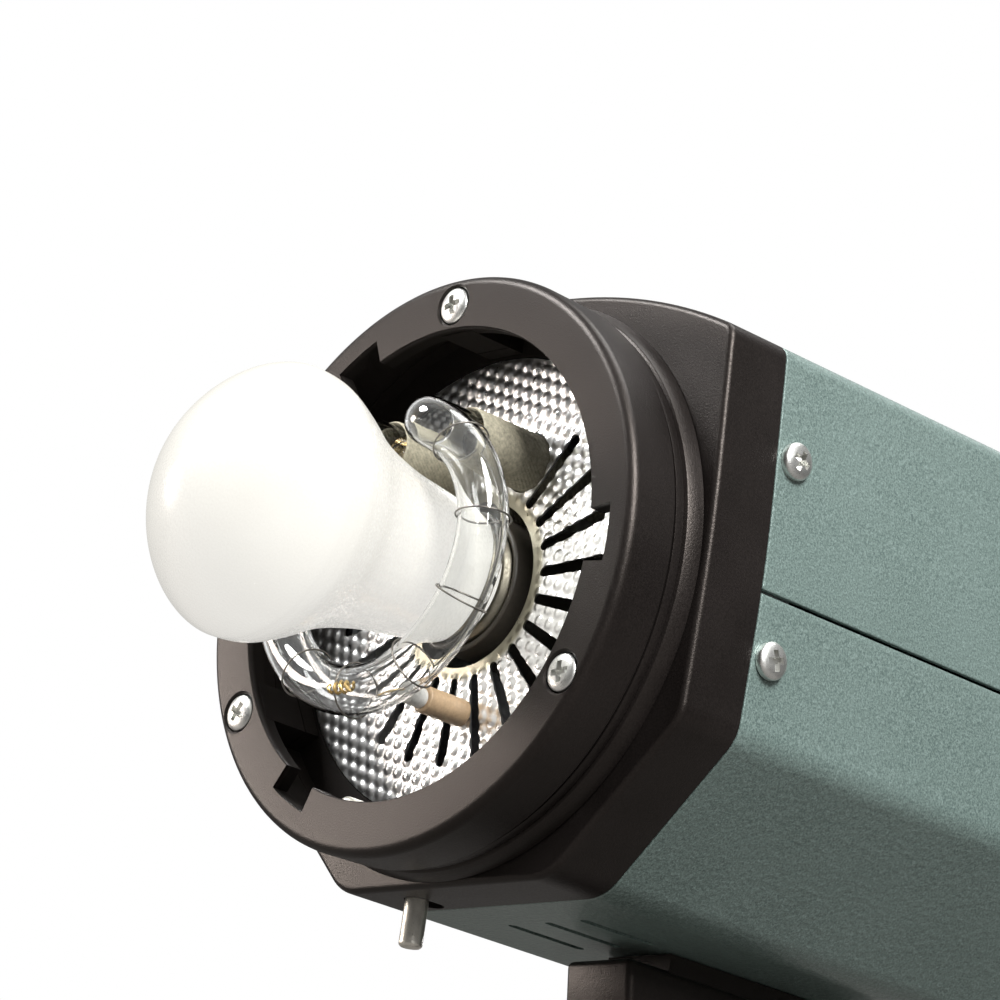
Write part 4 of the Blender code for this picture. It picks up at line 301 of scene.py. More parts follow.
def softBox(width, height, radius, centre=(0, 0)):
    w, h = width / 2 - radius, height / 2 - radius
    points = []
    for number, (u, v) in enumerate(((w, -h), (w, h), (-w, h), (-w, -h))):
        points += arc((centre[0] + u, centre[1] + v), radius, -90 + 90 * number, 90, 6)
    return points


# finishes

finishes = {}


def newFinish(slot, colour, roughness, metallic=0.0, **ports):
    finish = bpy.data.materials.new(camel(slot))
    finish.use_nodes = True
    finishes[slot] = finish
    surface(finish.node_tree, Base_Color=colour, Roughness=roughness, Metallic=metallic, **ports)
    return finish.node_tree


def feed(tree, port, value):
    # links the port to an output, or sets its constant
    if isinstance(value, bpy.types.NodeSocket):
        tree.links.new(value, port)
    else:
        port.default_value = (*value, 1) if port.type == "RGBA" else value


def surface(tree, **ports):
    for name, value in ports.items():
        feed(tree, tree.nodes["Principled BSDF"].inputs[name.replace("_", " ")], value)


def addNode(tree, kind, ports={}, **values):
    node = tree.nodes.new("ShaderNode" + kind)
    for key, value in values.items():
        setattr(node, key, value)
    for key, value in ports.items():
        feed(tree, node.inputs[key], value)
    return node


def texture(tree, kind, scale, stretch=(1, 1, 1), ports={}, **values):
    # a procedural texture in object space, its scale in cells per mm
    place = addNode(tree, "TexCoord").outputs["Object"]
    size = tuple(scale * 1000 * s for s in stretch)
    mapped = addNode(tree, "Mapping", {"Vector": place, "Scale": size}).outputs["Vector"]
    return addNode(tree, kind, {"Vector": mapped, "Scale": 1.0, **ports}, **values)


def noise(tree, scale, detail, roughness=0.5, stretch=(1, 1, 1)):
    ports = {"Detail": detail, "Roughness": roughness}
    return texture(tree, "TexNoise", scale, stretch, ports).outputs["Fac"]


def ramp(tree, source, stops):
    node = addNode(tree, "ValToRGB", {"Fac": source})
    elements = node.color_ramp.elements
    while len(elements) < len(stops):
        elements.new(0.5)
    for element, (place, colour) in zip(elements, stops):
        element.position = place
        element.color = (*(colour if isinstance(colour, tuple) else (colour,) * 3), 1)
    return node.outputs["Color"]


def spread(tree, source, low, high, fromLow=0.0, fromHigh=1.0, **values):
    ports = {"From Min": fromLow, "From Max": fromHigh, "To Min": low, "To Max": high, "Value": source}
    return addNode(tree, "MapRange", ports, **values).outputs["Result"]


def blendColours(tree, factor, first, second, mode="MIX"):
    ports = {0: factor, 6: first, 7: second}
    return addNode(tree, "Mix", ports, data_type="RGBA", blend_type=mode).outputs[2]


def mottle(tree, source, low, high, first, second):
    return blendColours(tree, spread(tree, source, 0, 1, low, high), first, second)


def both(tree, first, second):
    return addNode(tree, "Math", {0: first, 1: second}, operation="MULTIPLY").outputs["Value"]


def fromAxis(tree):
    # distance from the head's axis and depth behind the ring face, in m
    place = addNode(tree, "TexCoord").outputs["Object"]
    shifted = addNode(tree, "VectorMath", {0: place, 1: tuple(headAt * mm)}, operation="SUBTRACT").outputs[0]
    flat = addNode(tree, "VectorMath", {0: shifted, 1: (1, 0, 1)}, operation="MULTIPLY").outputs[0]
    length = addNode(tree, "VectorMath", {0: flat}, operation="LENGTH").outputs["Value"]
    return length, addNode(tree, "SeparateXYZ", {0: shifted}).outputs["Y"]


def relief(tree, *sources):
    # bumps in mm, one after another
    last = None
    for source, depth in sources:
        ports = {"Strength": 1.0, "Distance": depth * mm, "Height": source}
        if last:
            ports["Normal"] = last
        last = addNode(tree, "Bump", ports).outputs["Normal"]
    surface(tree, Normal=last)


satinBlackLook = {
    "colour": (0.0052, 0.0041, 0.0038),
    "worn": (0.0100, 0.0082, 0.0077),
    "roughness": (0.31, 0.42),
    "sheen": (1.0, 0.88, 0.80),
    "innerRadius": (56.8, 57.6),    # inside this and behind the face the plastic is left matt and darkened, as painted shade in the recesses
    "innerDepth": (0.6, 1.6),
    "innerPaintedShade": (0.0016, 0.0012, 0.0011),
    "grain": 2.6,
    "grainDepth": 0.05,
}


def makeSatinBlack():
    look = satinBlackLook
    tree = newFinish("satin_black", look["colour"], 0.42, Specular_IOR_Level=0.3, Specular_Tint=look["sheen"])
    grain = noise(tree, look["grain"], 3.0, 0.6)
    tone = mottle(tree, noise(tree, 0.05, 4.0), 0.3, 0.75, look["colour"], look["worn"])
    tone = blendColours(tree, 1.0, tone, ramp(tree, grain, [(0.35, 0.72), (0.62, 1.25)]), "MULTIPLY")
    radius, depth = fromAxis(tree)
    # painted shade: the recesses behind the face get a darker colour as well as a matt roughness
    inner = both(tree, spread(tree, radius, 1, 0, *[r * mm for r in look["innerRadius"]]),
                 spread(tree, depth, 0, 1, *[d * mm for d in look["innerDepth"]]))
    rough = spread(tree, grain, *look["roughness"], 0.3, 0.7)
    surface(tree, Base_Color=blendColours(tree, inner, tone, look["innerPaintedShade"]),
            Roughness=blendColours(tree, inner, rough, (0.95, 0.95, 0.95)))
    relief(tree, (grain, look["grainDepth"]))


greenPaintLook = {
    "base": (0.154, 0.214, 0.194),
    "light": (0.245, 0.320, 0.300),
    "dark": (0.085, 0.125, 0.118),
    "fleck": 2.3,
    "roughness": (0.30, 0.46),
}


def makeGreenPaint():
    look = greenPaintLook
    tree = newFinish("green_paint", look["base"], 0.38, 0.25, Coat_Weight=0.25, Coat_Roughness=0.25)
    flecks = noise(tree, look["fleck"], 3.5, 0.72)
    cells = texture(tree, "TexVoronoi", 0.75).outputs["Distance"]
    tone = ramp(tree, flecks, [(0.36, look["dark"]), (0.5, look["base"]), (0.66, look["light"])])
    fine = ramp(tree, noise(tree, 4.5, 2.0, 0.6), [(0.4, 0.35), (0.6, 1.0)])
    tone = blendColours(tree, 0.35, tone, fine, "MULTIPLY")
    cloud = spread(tree, noise(tree, 0.03, 3.0), 0, 0.14, 0.35, 0.7)
    surface(tree, Base_Color=blendColours(tree, cloud, tone, look["light"]),
            Roughness=spread(tree, flecks, *look["roughness"], 0.35, 0.65))
    relief(tree, (cells, 0.10), (flecks, 0.08))


stuccoLook = {
    "smeared": (0.90, 0.90, 0.895),
    "clean": (0.97, 0.965, 0.95),
    "tanned": (0.34, 0.32, 0.25),   # painted shade round the lamp's neck
    "neckShadeRadius": (20.2, 21.6),
}


def makeStucco():
    look = stuccoLook
    tree = newFinish("stucco_aluminium", (0.90, 0.90, 0.89), 0.3, 1.0)
    smear = noise(tree, 0.35, 4.0)
    tone = mottle(tree, smear, 0.3, 0.7, look["smeared"], look["clean"])
    # painted shade: the pan turns dark khaki close round the lamp's neck
    near = spread(tree, fromAxis(tree)[0], 1, 0, *[r * mm for r in look["neckShadeRadius"]])
    surface(tree, Base_Color=blendColours(tree, near, tone, look["tanned"]),
            Roughness=spread(tree, smear, 0.26, 0.38, 0.3, 0.7))
    relief(tree, (noise(tree, 3.0, 2.0), 0.012))


opalLook = {
    "shade": (0.20, 0.193, 0.165),
    "pale": (0.23, 0.224, 0.20),
    "glow": (1.0, 0.985, 0.94),
    "paintedGlowLevels": (0.72, 0.56),     # painted glow of the unlit bulb, facing the eye, and at the limb
}


def makeOpal():
    look = opalLook
    # painted light: the bulb is not lit, yet it glows, more where it faces the eye
    tree = newFinish("opal_glass", look["shade"], 0.2, Coat_Weight=0.3, Coat_Roughness=0.1,
                     Emission_Color=look["glow"])
    frost = noise(tree, 1.6, 2.0)
    limb = addNode(tree, "LayerWeight").outputs["Facing"]
    surface(tree, Base_Color=mottle(tree, noise(tree, 0.06, 3.0), 0.3, 0.7, look["shade"], look["pale"]),
            Roughness=spread(tree, frost, 0.22, 0.34, 0.3, 0.7),
            Emission_Strength=spread(tree, limb, *look["paintedGlowLevels"], 0.35, 1.0))
    relief(tree, (frost, 0.01))


def makeClearGlass():
    tree = newFinish("clear_glass", (0.985, 0.99, 0.985), 0.0, Transmission_Weight=1.0, IOR=1.46)
    draw = noise(tree, 0.12, 2.0)
    surface(tree, Roughness=spread(tree, draw, 0.0, 0.03, 0.4, 0.7))
    relief(tree, (draw, 0.08))


def makeKhaki():
    tree = newFinish("sleeve_khaki", (0.16, 0.15, 0.11), 0.7)
    weave = texture(tree, "TexWave", 0.55, ports={"Distortion": 1.2}, bands_direction="DIAGONAL")
    fibre = noise(tree, 1.2, 5.0, 0.7)
    surface(tree, Base_Color=ramp(tree, fibre, [(0.3, (0.155, 0.142, 0.102)), (0.7, (0.37, 0.34, 0.25))]))
    relief(tree, (weave.outputs["Fac"], 0.06), (fibre, 0.05))


def makeBoard():
    tree = newFinish("board_green", (0.02, 0.13, 0.06), 0.35, Coat_Weight=0.4, Coat_Roughness=0.2)
    tracks = texture(tree, "TexBrick", 0.16, ports={
        "Color1": (0.015, 0.10, 0.05), "Color2": (0.03, 0.16, 0.08), "Mortar": (0.09, 0.26, 0.12)})
    dirt = ramp(tree, noise(tree, 0.2, 4.0), [(0.3, 0.5), (0.7, 1.0)])
    surface(tree, Base_Color=blendColours(tree, 0.4, tracks.outputs["Color"], dirt, "MULTIPLY"))
    relief(tree, (tracks.outputs["Fac"], 0.03))


metals = {                      # colour, roughness, brushing, its depth in mm, metallic
    "zinc_steel": ((0.88, 0.88, 0.85), 0.34, (1, 1, 6), 0.02),
    "bright_steel": ((0.88, 0.85, 0.77), 0.38, (1, 6, 1), 0.008),
    "nickel": ((0.72, 0.68, 0.60), 0.22),
    "brass": ((0.80, 0.58, 0.25), 0.28),
    "aluminium": ((0.72, 0.73, 0.74), 0.36, (1, 1, 8)),
    "trigger_wire": ((0.30, 0.28, 0.25), 0.35, (1, 1, 1), 0.01, 0.9),
    "cap_metal": ((0.42, 0.39, 0.31), 0.5),
}
ceramics = {
    "ceramic_white": (0.80, 0.79, 0.74),
    "ceramic_tan": (0.50, 0.35, 0.21),
    # painted shade: the white ceramic lamp holder is coloured dark brown as if in the bulb's shadow
    "holder_glaze": (0.060, 0.052, 0.040),
}
plastics = {                    # colour, roughness, grains per mm, their depth in mm, coat
    "coil_resin": ((0.28, 0.12, 0.03), 0.25, 0.4, 0.05, 0.5),
    "can_sleeve": ((0.02, 0.04, 0.14), 0.3, 0.5, 0.02, 0.3),
    "knob_black": ((0.018, 0.018, 0.019), 0.42, 1.8, 0.035),
    "panel_grey": ((0.30, 0.325, 0.315), 0.45, 2.6, 0.03),
    "button_red": ((0.55, 0.03, 0.02), 0.25, 0.6, 0.01, 0.4),
    "lens_smoke": ((0.06, 0.012, 0.012), 0.12, 0.5, 0.01, 0.8),
    "washer_fibre": ((0.20, 0.09, 0.035), 0.7, 1.0, 0.06),
    "print_white": ((0.78, 0.78, 0.76), 0.5, 1.0, 0.01),
    "print_black": ((0.012, 0.012, 0.012), 0.5, 1.0, 0.01),
}


def makeMetal(slot, colour, roughness, brush=(1, 1, 1), depth=0.01, metallic=1.0):
    tree = newFinish(slot, colour, roughness, metallic)
    lines = noise(tree, 2.2, 4.0, stretch=brush)
    darker = tuple(c * 0.72 for c in colour)
    surface(tree, Base_Color=mottle(tree, noise(tree, 0.25, 3.0), 0.35, 0.7, darker, colour),
            Roughness=spread(tree, lines, roughness * 0.7, roughness * 1.4, 0.3, 0.7))
    relief(tree, (lines, depth))


def makeCeramic(slot, colour):
    tree = newFinish(slot, colour, 0.45, Coat_Weight=0.15, Coat_Roughness=0.2)
    pores = noise(tree, 1.4, 5.0, 0.7)
    surface(tree, Base_Color=mottle(tree, pores, 0.35, 0.65, tuple(c * 0.78 for c in colour), colour))
    relief(tree, (pores, 0.04))


def makePlastic(slot, colour, roughness, grain, depth, coat=0.0):
    tree = newFinish(slot, colour, roughness, Coat_Weight=coat)
    grains = noise(tree, grain, 3.0)
    lighter = tuple(min(1.0, c * 1.35 + 0.004) for c in colour)
    surface(tree, Base_Color=mottle(tree, grains, 0.35, 0.7, colour, lighter),
            Roughness=spread(tree, grains, roughness * 0.85, roughness * 1.2, 0.3, 0.7))
    relief(tree, (grains, depth))


for make in (makeSatinBlack, makeGreenPaint, makeStucco, makeOpal, makeClearGlass, makeKhaki, makeBoard):
    make()
for slot, values in metals.items():
    makeMetal(slot, *values)
for slot, colour in ceramics.items():
    makeCeramic(slot, colour)
for slot, values in plastics.items():
    makePlastic(slot, *values)
for item in frame["record"]["subparts"]:
    solid = frame["nodes"].get(item["node"])
    if solid:
        solid.data.materials.clear()
        solid.data.materials.append(finishes[item["material_slot"]])
print("finishes made")


# body section

section = {                     # corners as x, z, rounding and steps
    "corners": ((31.1, -63.2, 12, 12), (62.6, -32.5, 8, 12), (64.3, 4.0, 350, 12), (62.3, 49.4, 4, 10)),
    "peak": (77.4, 145, 48),
    "sharpest": 0.2,
    "share": 0.98,
}
bottom = section["corners"][0][1]


def bodyOutline(inset=0.0):
    peak, radius, steps = section["peak"]
    right = list(section["corners"])
    corners = right + [(0.0, peak, radius, steps)] + [(-x, z, r, n) for x, z, r, n in reversed(right)]
    count = len(corners)
    places = [Vector(corner[:2]) for corner in corners]
    heading = [(places[(i + 1) % count] - places[i]).normalized() for i in range(count)]
    inward = [Vector((-along.y, along.x)) for along in heading]
    points, turns, reaches = [], [], []
    for i in range(count):
        points.append(places[i] + (inward[i - 1] + inward[i]) * inset / (1 + inward[i - 1].dot(inward[i])))
        turns.append(-heading[i - 1].angle_signed(heading[i]))
        radius = max(corners[i][2] - copysign(inset, turns[i]), section["sharpest"])
        reaches.append(radius * tan(abs(turns[i]) / 2))
    outline = []
    for i in range(count):
        after = (i + 1) % count
        room = min((points[i] - points[i - 1]).length / (reaches[i - 1] + reaches[i]),
                   (points[after] - points[i]).length / (reaches[i] + reaches[after]))
        reach = reaches[i] * min(1.0, section["share"] * room)
        start = points[i] - heading[i - 1] * reach
        centre = start + inward[i - 1] * copysign(reach / tan(abs(turns[i]) / 2), turns[i])
        for k in range(corners[i][3] + 1):
            spin = Matrix.Rotation(turns[i] * k / corners[i][3], 2)
            outline.append(tuple(centre + spin @ (start - centre)))
    return outline


def sideX(height):
    outline = bodyOutline()
    for (x0, z0), (x1, z1) in zip(outline, outline[1:]):
        if x0 > 0 and x1 > 0 and z0 <= height < z1:
            return x0 + (x1 - x0) * (height - z0) / (z1 - z0)


# screws

screwLook = {
    "recessLong": 1.12,         # cross recess, shares of the head's radius
    "recessShort": 0.34,
    "recessDepth": 0.80,        # share of the head's height
}


def crossScrew(node, sizes, place, facing, spin):
    head, height, shank, length = (sizes[key] for key in ("head", "height", "shank", "length"))
    turns = [radians(90 * i / 8) for i in range(1, 9)]
    profile = [(0, height)] + [(head * sin(t) ** 0.7, height * (0.45 + 0.55 * cos(t))) for t in turns]
    profile += [(head, 0), (shank, 0), (shank, -length), (0, -length)]
    screw = lathe(camel(node), profile, place, facing, 48)
    long, short = head * screwLook["recessLong"], head * screwLook["recessShort"]
    depth = 2 * height * screwLook["recessDepth"]
    top = shift((0, 0, height))
    for width, breadth in ((long, short), (short, long)):
        bm = bmesh.new()
        addCube(bm, (width, breadth, depth), top @ rotate(spin, "Z"))
        cut(screw, toPiece("recess", bm, place, facing))
    bm = bmesh.new()
    bmesh.ops.create_cone(bm, cap_ends=True, segments=8, radius1=head * 0.05, radius2=head * 0.4, depth=depth,
                          matrix=top)
    cut(screw, toPiece("recessWell", bm, place, facing))
    fit(screw, "zinc_steel", "head", node)


# bayonet front

ring = {
    "aperture": 50.6, "outer": 62.1, "back": 61.6, "depth": 12.8, "rimRound": 2.2, "plate": 4.0, "edge": 0.25,
    "channel": 56.6, "notchRadius": 56.25, "notchHalf": 6.2, "notches": (90, 210, 330),
    "stopWidth": 9.6, "stopFace": 50.3, "steps": 240,
}
ringScrews = {
    "angles": (0, 120, 240), "pitch": 56.0, "head": 3.95, "height": 2.0, "shank": 1.9, "length": 12,
    "sink": 1.8, "seatGap": 0.3, "bevel": 0.45, "spins": (12, 5, 58),
}
collar = {
    "radius": 60.8, "flare": 62.4, "flareDepth": 3.8, "groove": 0.7, "depth": 7.3, "floor": 3.4, "ledge": 46,
}
bezel = {"length": 16.2, "wall": 3.0, "edgeRound": 1.4, "bore": 45.5}
latch = {
    "x": -16, "z": -50, "radius": 3.0, "front": 5.0, "travel": 4.0, "pinDepth": 28.8, "pinRadius": 2.5,
    "below": 73.2, "shoulderRadius": 4.8, "shoulder": 1.0, "wire": 0.35, "clearance": 0.35, "turns": 5,
}
pan = {
    "depth": 16.8, "radius": 49.4, "sheet": 0.4, "hole": 17.9, "sleeveGap": 0.3,
    "slots": 23, "firstSlot": 41.5, "clear": 34,
    "inner": 21.3, "outer": 37.5, "innerWidth": 2.2, "outerWidth": 3.0,
    "pitch": 3.2, "height": 0.34, "rows": 80, "columns": 620, "plain": 2.6,
}
collarFront = ring["depth"] + gap
bezelFront = collarFront + collar["depth"]
bodyFront = bezelFront + bezel["length"] + gap
frameBack = bodyFront + 9.8
framePlate = frameBack - 2.2


def addStop(piece, low, high, angle):
    top = ring["channel"] + 2
    join(piece, blockBetween("stop", ring["stopWidth"], low, high, ring["stopFace"], top, angle))


def makeRing():
    r, s = ring, ringScrews
    rim = arc((r["outer"] - r["rimRound"], r["rimRound"]), r["rimRound"], -90, 90, 8)
    profile = [(r["aperture"], r["edge"]), (r["aperture"] + r["edge"], 0)] + rim + [
        (r["back"] + r["edge"], r["depth"] - 0.6), (r["back"] - 0.3, r["depth"]),
        (r["channel"], r["depth"]), (r["channel"], r["plate"]), (r["aperture"], r["plate"]),
    ]
    piece = lathe("bayonetRing", profile, steps=r["steps"])
    for angle in s["angles"]:
        addStop(piece, r["plate"] / 2, r["depth"], angle)
    low, half = r["aperture"] * 0.9, r["notchHalf"]
    outline = [(-low * tan(radians(half)), low), (low * tan(radians(half)), low)]
    outline += [clock(r["notchRadius"], half - 2 * half * i / 8) for i in range(9)]
    for angle in r["notches"]:
        cut(piece, slab("notch", [outline], 3 * r["plate"], spin=angle))
    seat, bore = s["head"] + s["seatGap"], s["shank"] + gap
    mouth = [(0, -1), (seat + s["bevel"] + 1, -1), (seat + s["bevel"], 0), (seat, s["bevel"]),
             (seat, s["sink"]), (bore, s["sink"]), (bore, 30), (0, 30)]
    for angle in s["angles"]:
        x, z = clock(s["pitch"], angle)
        cut(piece, lathe("seat", mouth, (x, 0, z), "back", 64))
    fit(piece, "satin_black", "head", "bayonet_ring")
    for number, (angle, turn) in enumerate(zip(s["angles"], s["spins"]), 1):
        x, z = clock(s["pitch"], angle)
        crossScrew(f"ring_screw_{number}", s, (x, s["sink"] - gap, z), "front", turn)
    print("bayonet ring made")


def latchWay():
    return drill(latch["radius"] + gap, 2 * 270, (latch["x"], 0, latch["z"]))


def makeCollar():
    c, s = collar, ringScrews
    front, back = collarFront, bezelFront - gap
    floor, flare, g = back - c["floor"], back - c["flareDepth"], c["groove"]
    panBack = pan["depth"] + pan["sheet"] + gap
    profile = [
        (c["radius"] - g, front), (c["radius"] - g, front + g), (c["radius"], front + g),
        (c["radius"], flare - g / 2), (c["radius"] - g, flare), (c["radius"] + 0.4, flare + g / 2),
        (c["flare"], back), (c["ledge"], back), (c["ledge"], panBack), (pan["radius"] + gap, panBack),
        (pan["radius"] + gap, floor), (ring["channel"], floor), (ring["channel"], front),
    ]
    piece = lathe("bayonetCollar", soften(profile, 0.18, 2), steps=ring["steps"])
    for angle in s["angles"]:
        addStop(piece, front, floor + 1, angle)
        x, z = clock(s["pitch"], angle)
        cut(piece, drill(s["shank"] + gap, 2 * (s["length"] + gap), (x, s["sink"], z)))
    cut(piece, latchWay())
    fit(piece, "satin_black", "head", "bayonet_collar")


def makeBezel():
    b, k = bezel, latch
    middle = bezelFront + b["length"] / 2
    piece = slab("frontBezel", [bodyOutline()], b["length"], (0, middle, 0))
    bm = bmesh.new()
    bm.from_mesh(piece.data)
    weight = bm.edges.layers.float.new("bevel_weight_edge")
    faceY = (headAt.y + bezelFront) * mm
    for edge in bm.edges:
        if all(abs(v.co.y - faceY) < 1e-5 for v in edge.verts) and abs(edge.calc_face_angle(0)) > 0.5:
            edge[weight] = 1.0
    bm.to_mesh(piece.data)
    bm.free()
    easeEdges(piece, b["edgeRound"], 6, None)
    pocket = slab("pocket", [bodyOutline(b["wall"])], b["length"], (0, middle + b["wall"], 0))
    bore = drill(b["bore"], 4 * b["wall"], (0, bezelFront, 0), steps=160)
    start = k["pinDepth"]
    track = longHole((k["x"], start), (k["x"], start + k["travel"]), 2 * (k["pinRadius"] + gap), 12)
    cut(piece, pocket, bore, latchWay(), slab("pinWay", [track], 4 * b["wall"], (0, 0, bottom), "up"))
    fit(piece, "satin_black", "head", "front_bezel")
    print("collar and bezel made")


def makeLatch():
    k = latch
    rear = frameBack - k["front"]
    shoulder = k["pinDepth"] + k["pinRadius"] + gap - k["front"]
    profile = [
        (0, 0), (k["radius"] - 0.8, 0), (k["radius"], 0.8), (k["radius"], shoulder),
        (k["shoulderRadius"], shoulder), (k["shoulderRadius"], shoulder + k["shoulder"]),
        (k["radius"], shoulder + k["shoulder"]),
        (k["radius"], rear), (0, rear),
    ]
    rod = lathe("latchRod", soften(profile, 0.2, 2), (k["x"], k["front"], k["z"]), steps=48)
    slim = k["pinRadius"] * 0.6
    cut(rod, drill(slim + gap, 2 * k["radius"], (k["x"], k["pinDepth"], k["z"] - k["radius"]), "up"))
    fit(rod, "bright_steel", "latch", "latch_rod")
    end, neck = -k["z"] - k["below"], -k["radius"] - gap
    profile = [
        (0, -gap), (slim, -gap), (slim, neck), (k["pinRadius"], neck),
        (k["pinRadius"], end + 0.5), (k["pinRadius"] - 0.5, end), (0, end),
    ]
    pin = lathe("latchPin", soften(profile, 0.15, 2), (k["x"], k["pinDepth"], k["z"]), "up", 64)
    fit(pin, "bright_steel", "latch", "latch_pin")
    start = k["front"] + shoulder + k["shoulder"] + k["wire"] + gap
    end = framePlate - k["wire"] - gap
    radius = k["radius"] + k["clearance"] + k["wire"]
    count = k["turns"] * 32
    points = []
    for i in range(count + 1):
        turn, depth = 2 * pi * i / 32, start + (end - start) * i / count
        points.append((k["x"] + radius * cos(turn), depth, k["z"] + radius * sin(turn)))
    spring = wire("latchSpring", points, k["wire"])
    fit(spring, "bright_steel", "head", "latch_spring")
    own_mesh(spring)
    print("latch made")


# reflector, lamp and flash tube

tube = {
    "plane": -9.2, "ringRadius": 30.1, "radius": 5.15, "wall": 0.6, "sweep": 8.1, "legX": 11.6, "legZ": 25.2,
    "ease": 60, "bend": 5.7, "legEnd": 20, "steps": 150,
}
sleeve = {"radius": 6.2, "wall": 0.7, "front": -1.7}
legAngle = degrees(atan2(tube["legX"], tube["legZ"]))


def tubeLine(fromTop):
    side = abs((fromTop + 180) % 360 - 180)
    share = min(1.0, max(0.0, (tube["ease"] - side) / (tube["ease"] - legAngle)))
    share = share * share * (3 - 2 * share)
    radius = tube["ringRadius"] + (hypot(tube["legX"], tube["legZ"]) - tube["ringRadius"]) * share
    return radius, tube["plane"] - tube["sweep"] * max(0.0, cos(radians(side))) ** 2


def onRing(angle):
    radius, depth = tubeLine(angle)
    x, z = clock(radius, angle)
    return Vector((x, depth, z))


def tubePath(end):
    corner = Vector((tube["legX"], tubeLine(legAngle)[1], tube["legZ"]))
    rear = Vector((0, 1, 0))
    trim = tube["bend"]
    for _ in range(6):
        bendAngle = legAngle + degrees(trim / tube["ringRadius"])
        turn = (corner - onRing(bendAngle)).angle(rear)
        trim = tube["bend"] * tan(turn / 2)
    steps = tube["steps"] // 2
    half = [onRing(180 - (180 - bendAngle) * i / steps) for i in range(steps + 1)]
    start, finish, weight = half[-1], corner + rear * trim, cos(turn / 2)
    for t in (i / 16 for i in range(1, 17)):
        a, b, c = (1 - t) ** 2, 2 * t * (1 - t) * weight, t ** 2
        half.append((start * a + corner * b + finish * c) / (a + b + c))
    half += [Vector((tube["legX"], finish.y + (end - finish.y) * t, tube["legZ"])) for t in (0.34, 0.67, 1.0)]
    for _ in range(3):          # evens out the change from ring to bend
        half[1:-1] = [half[i] * 0.5 + (half[i - 1] + half[i + 1]) * 0.25 for i in range(1, len(half) - 1)]
    return [Vector((-p.x, p.y, p.z)) for p in half[:0:-1]] + half


def makeFlashTube():
    path = tubePath(tube["legEnd"])
    bm = wireMesh(path, tube["radius"], 40)
    inner = wireMesh(path[2:-2], tube["radius"] - tube["wall"], 40)
    bmesh.ops.reverse_faces(inner, faces=inner.faces)
    hollow = bpy.data.meshes.new("hollow")
    inner.to_mesh(hollow)
    inner.free()
    bmesh.ops.recalc_face_normals(bm, faces=bm.faces)
    absorb(bm, hollow)
    fit(toPiece("flashTube", bm, recalculate=False), "clear_glass", "head", "flash_tube", sharp=60)


def makeTubeMounts():
    back, front, radius = framePlate - gap, sleeve["front"], sleeve["radius"]
    inner = radius - sleeve["wall"]
    profile = [(inner, front + 0.4), (inner + 0.35, front), (radius - 0.35, front), (radius, front + 0.4),
               (radius, back), (inner, back)]
    for side, node in ((-1, "tube_sleeve_left"), (1, "tube_sleeve_right")):
        piece = lathe(camel(node), profile, (side * tube["legX"], 0, tube["legZ"]), steps=64)
        fit(piece, "sleeve_khaki", "head", node)
    print("flash tube made")


trigger = {
    "radius": 0.25, "drawn": 0.2, "turns": 9, "first": 50, "last": 310, "advance": 1.4,
    "postX": 3.1, "postZ": -28, "postFront": 1.1, "tip": 4.2, "tipRadius": 2.15,
    "tanRadius": 2.9, "lead": 0.4, "goldAngle": 179, "goldTurns": 4, "goldRadius": 1.2, "goldLength": 7.0,
    "goldWire": 0.34,
}


def makeTriggerWire():
    t = trigger
    offset = tube["radius"] + 0.12 + t["radius"] + 0.1

    def onTube(angle, turn):
        radius, depth = tubeLine(angle)
        x, z = clock(radius + offset * cos(turn), angle)
        return Vector((x, depth + offset * sin(turn), z))

    spacing = (t["last"] - t["first"]) / (t["turns"] - 1)
    advance = degrees(t["advance"] / tube["ringRadius"])
    points = []
    for loop in range(t["turns"]):
        start = t["first"] + spacing * loop
        points += [onTube(start + advance * i / 40, pi / 2 + 2 * pi * i / 40) for i in range(41)]
        if loop < t["turns"] - 1:
            points += [onTube(start + advance + (spacing - advance) * i / 12, pi / 2) for i in range(1, 12)]
    fit(wire("triggerWire", points, t["drawn"], 8), "trigger_wire", "head", "trigger_wire")
    x, z, front, back = t["postX"], t["postZ"], t["postFront"], pan["depth"] - gap
    shoulder = front + t["tip"]
    post = soften(rodProfile(t["tanRadius"], shoulder, back), 0.45, 4)
    fit(lathe("triggerPost", post, (x, 0, z), steps=64), "ceramic_tan", "head", "trigger_post")
    tip = soften(rodProfile(t["tipRadius"], front, shoulder - 0.05), 0.5, 4)
    fit(lathe("postTip", tip, (x, 0, z), steps=64), "ceramic_white", "head")
    rise = tube["plane"] + tube["radius"] + 1.5
    lead = [(x, front + 1, z), (x, front - 0.2, z), (x - 1.2, rise + 0.8, z - 0.6),
            (x - 4.5, rise + 0.2, z - 1.6)]
    fit(wire("triggerLead", smoothPath(lead), t["lead"], 12), "brass", "head")
    middle = onRing(t["goldAngle"])
    count = t["goldTurns"] * 24
    points = []
    for share in (i / count for i in range(count + 1)):
        turn = 2 * pi * t["goldTurns"] * share
        swell = t["goldRadius"] * (0.55 + 0.45 * sin(pi * share))
        points.append((middle.x - t["goldLength"] * (share - 0.5) + 0.25 * sin(3.1 * turn / t["goldTurns"]),
                       middle.y - tube["radius"] * 0.82 + swell * sin(turn) * 0.8 - t["goldRadius"] * 0.5,
                       middle.z - tube["radius"] * 0.15 + swell * cos(turn)))
    fit(wire("wireJoint", points, t["goldWire"], 10), "brass", "head")


def stuccoHeight(x, z):
    # rounded bumps in rows set off by half a pitch
    k = 2 * pi / (pan["pitch"] * sqrt(3) / 2)
    total = sum(cos(k * (x * cos(turn) + z * sin(turn))) for turn in map(radians, (12, 72, 132)))
    level = min(1.0, max(0.0, (total + 1.45) / 3.3))
    return level * level * (3 - 2 * level)


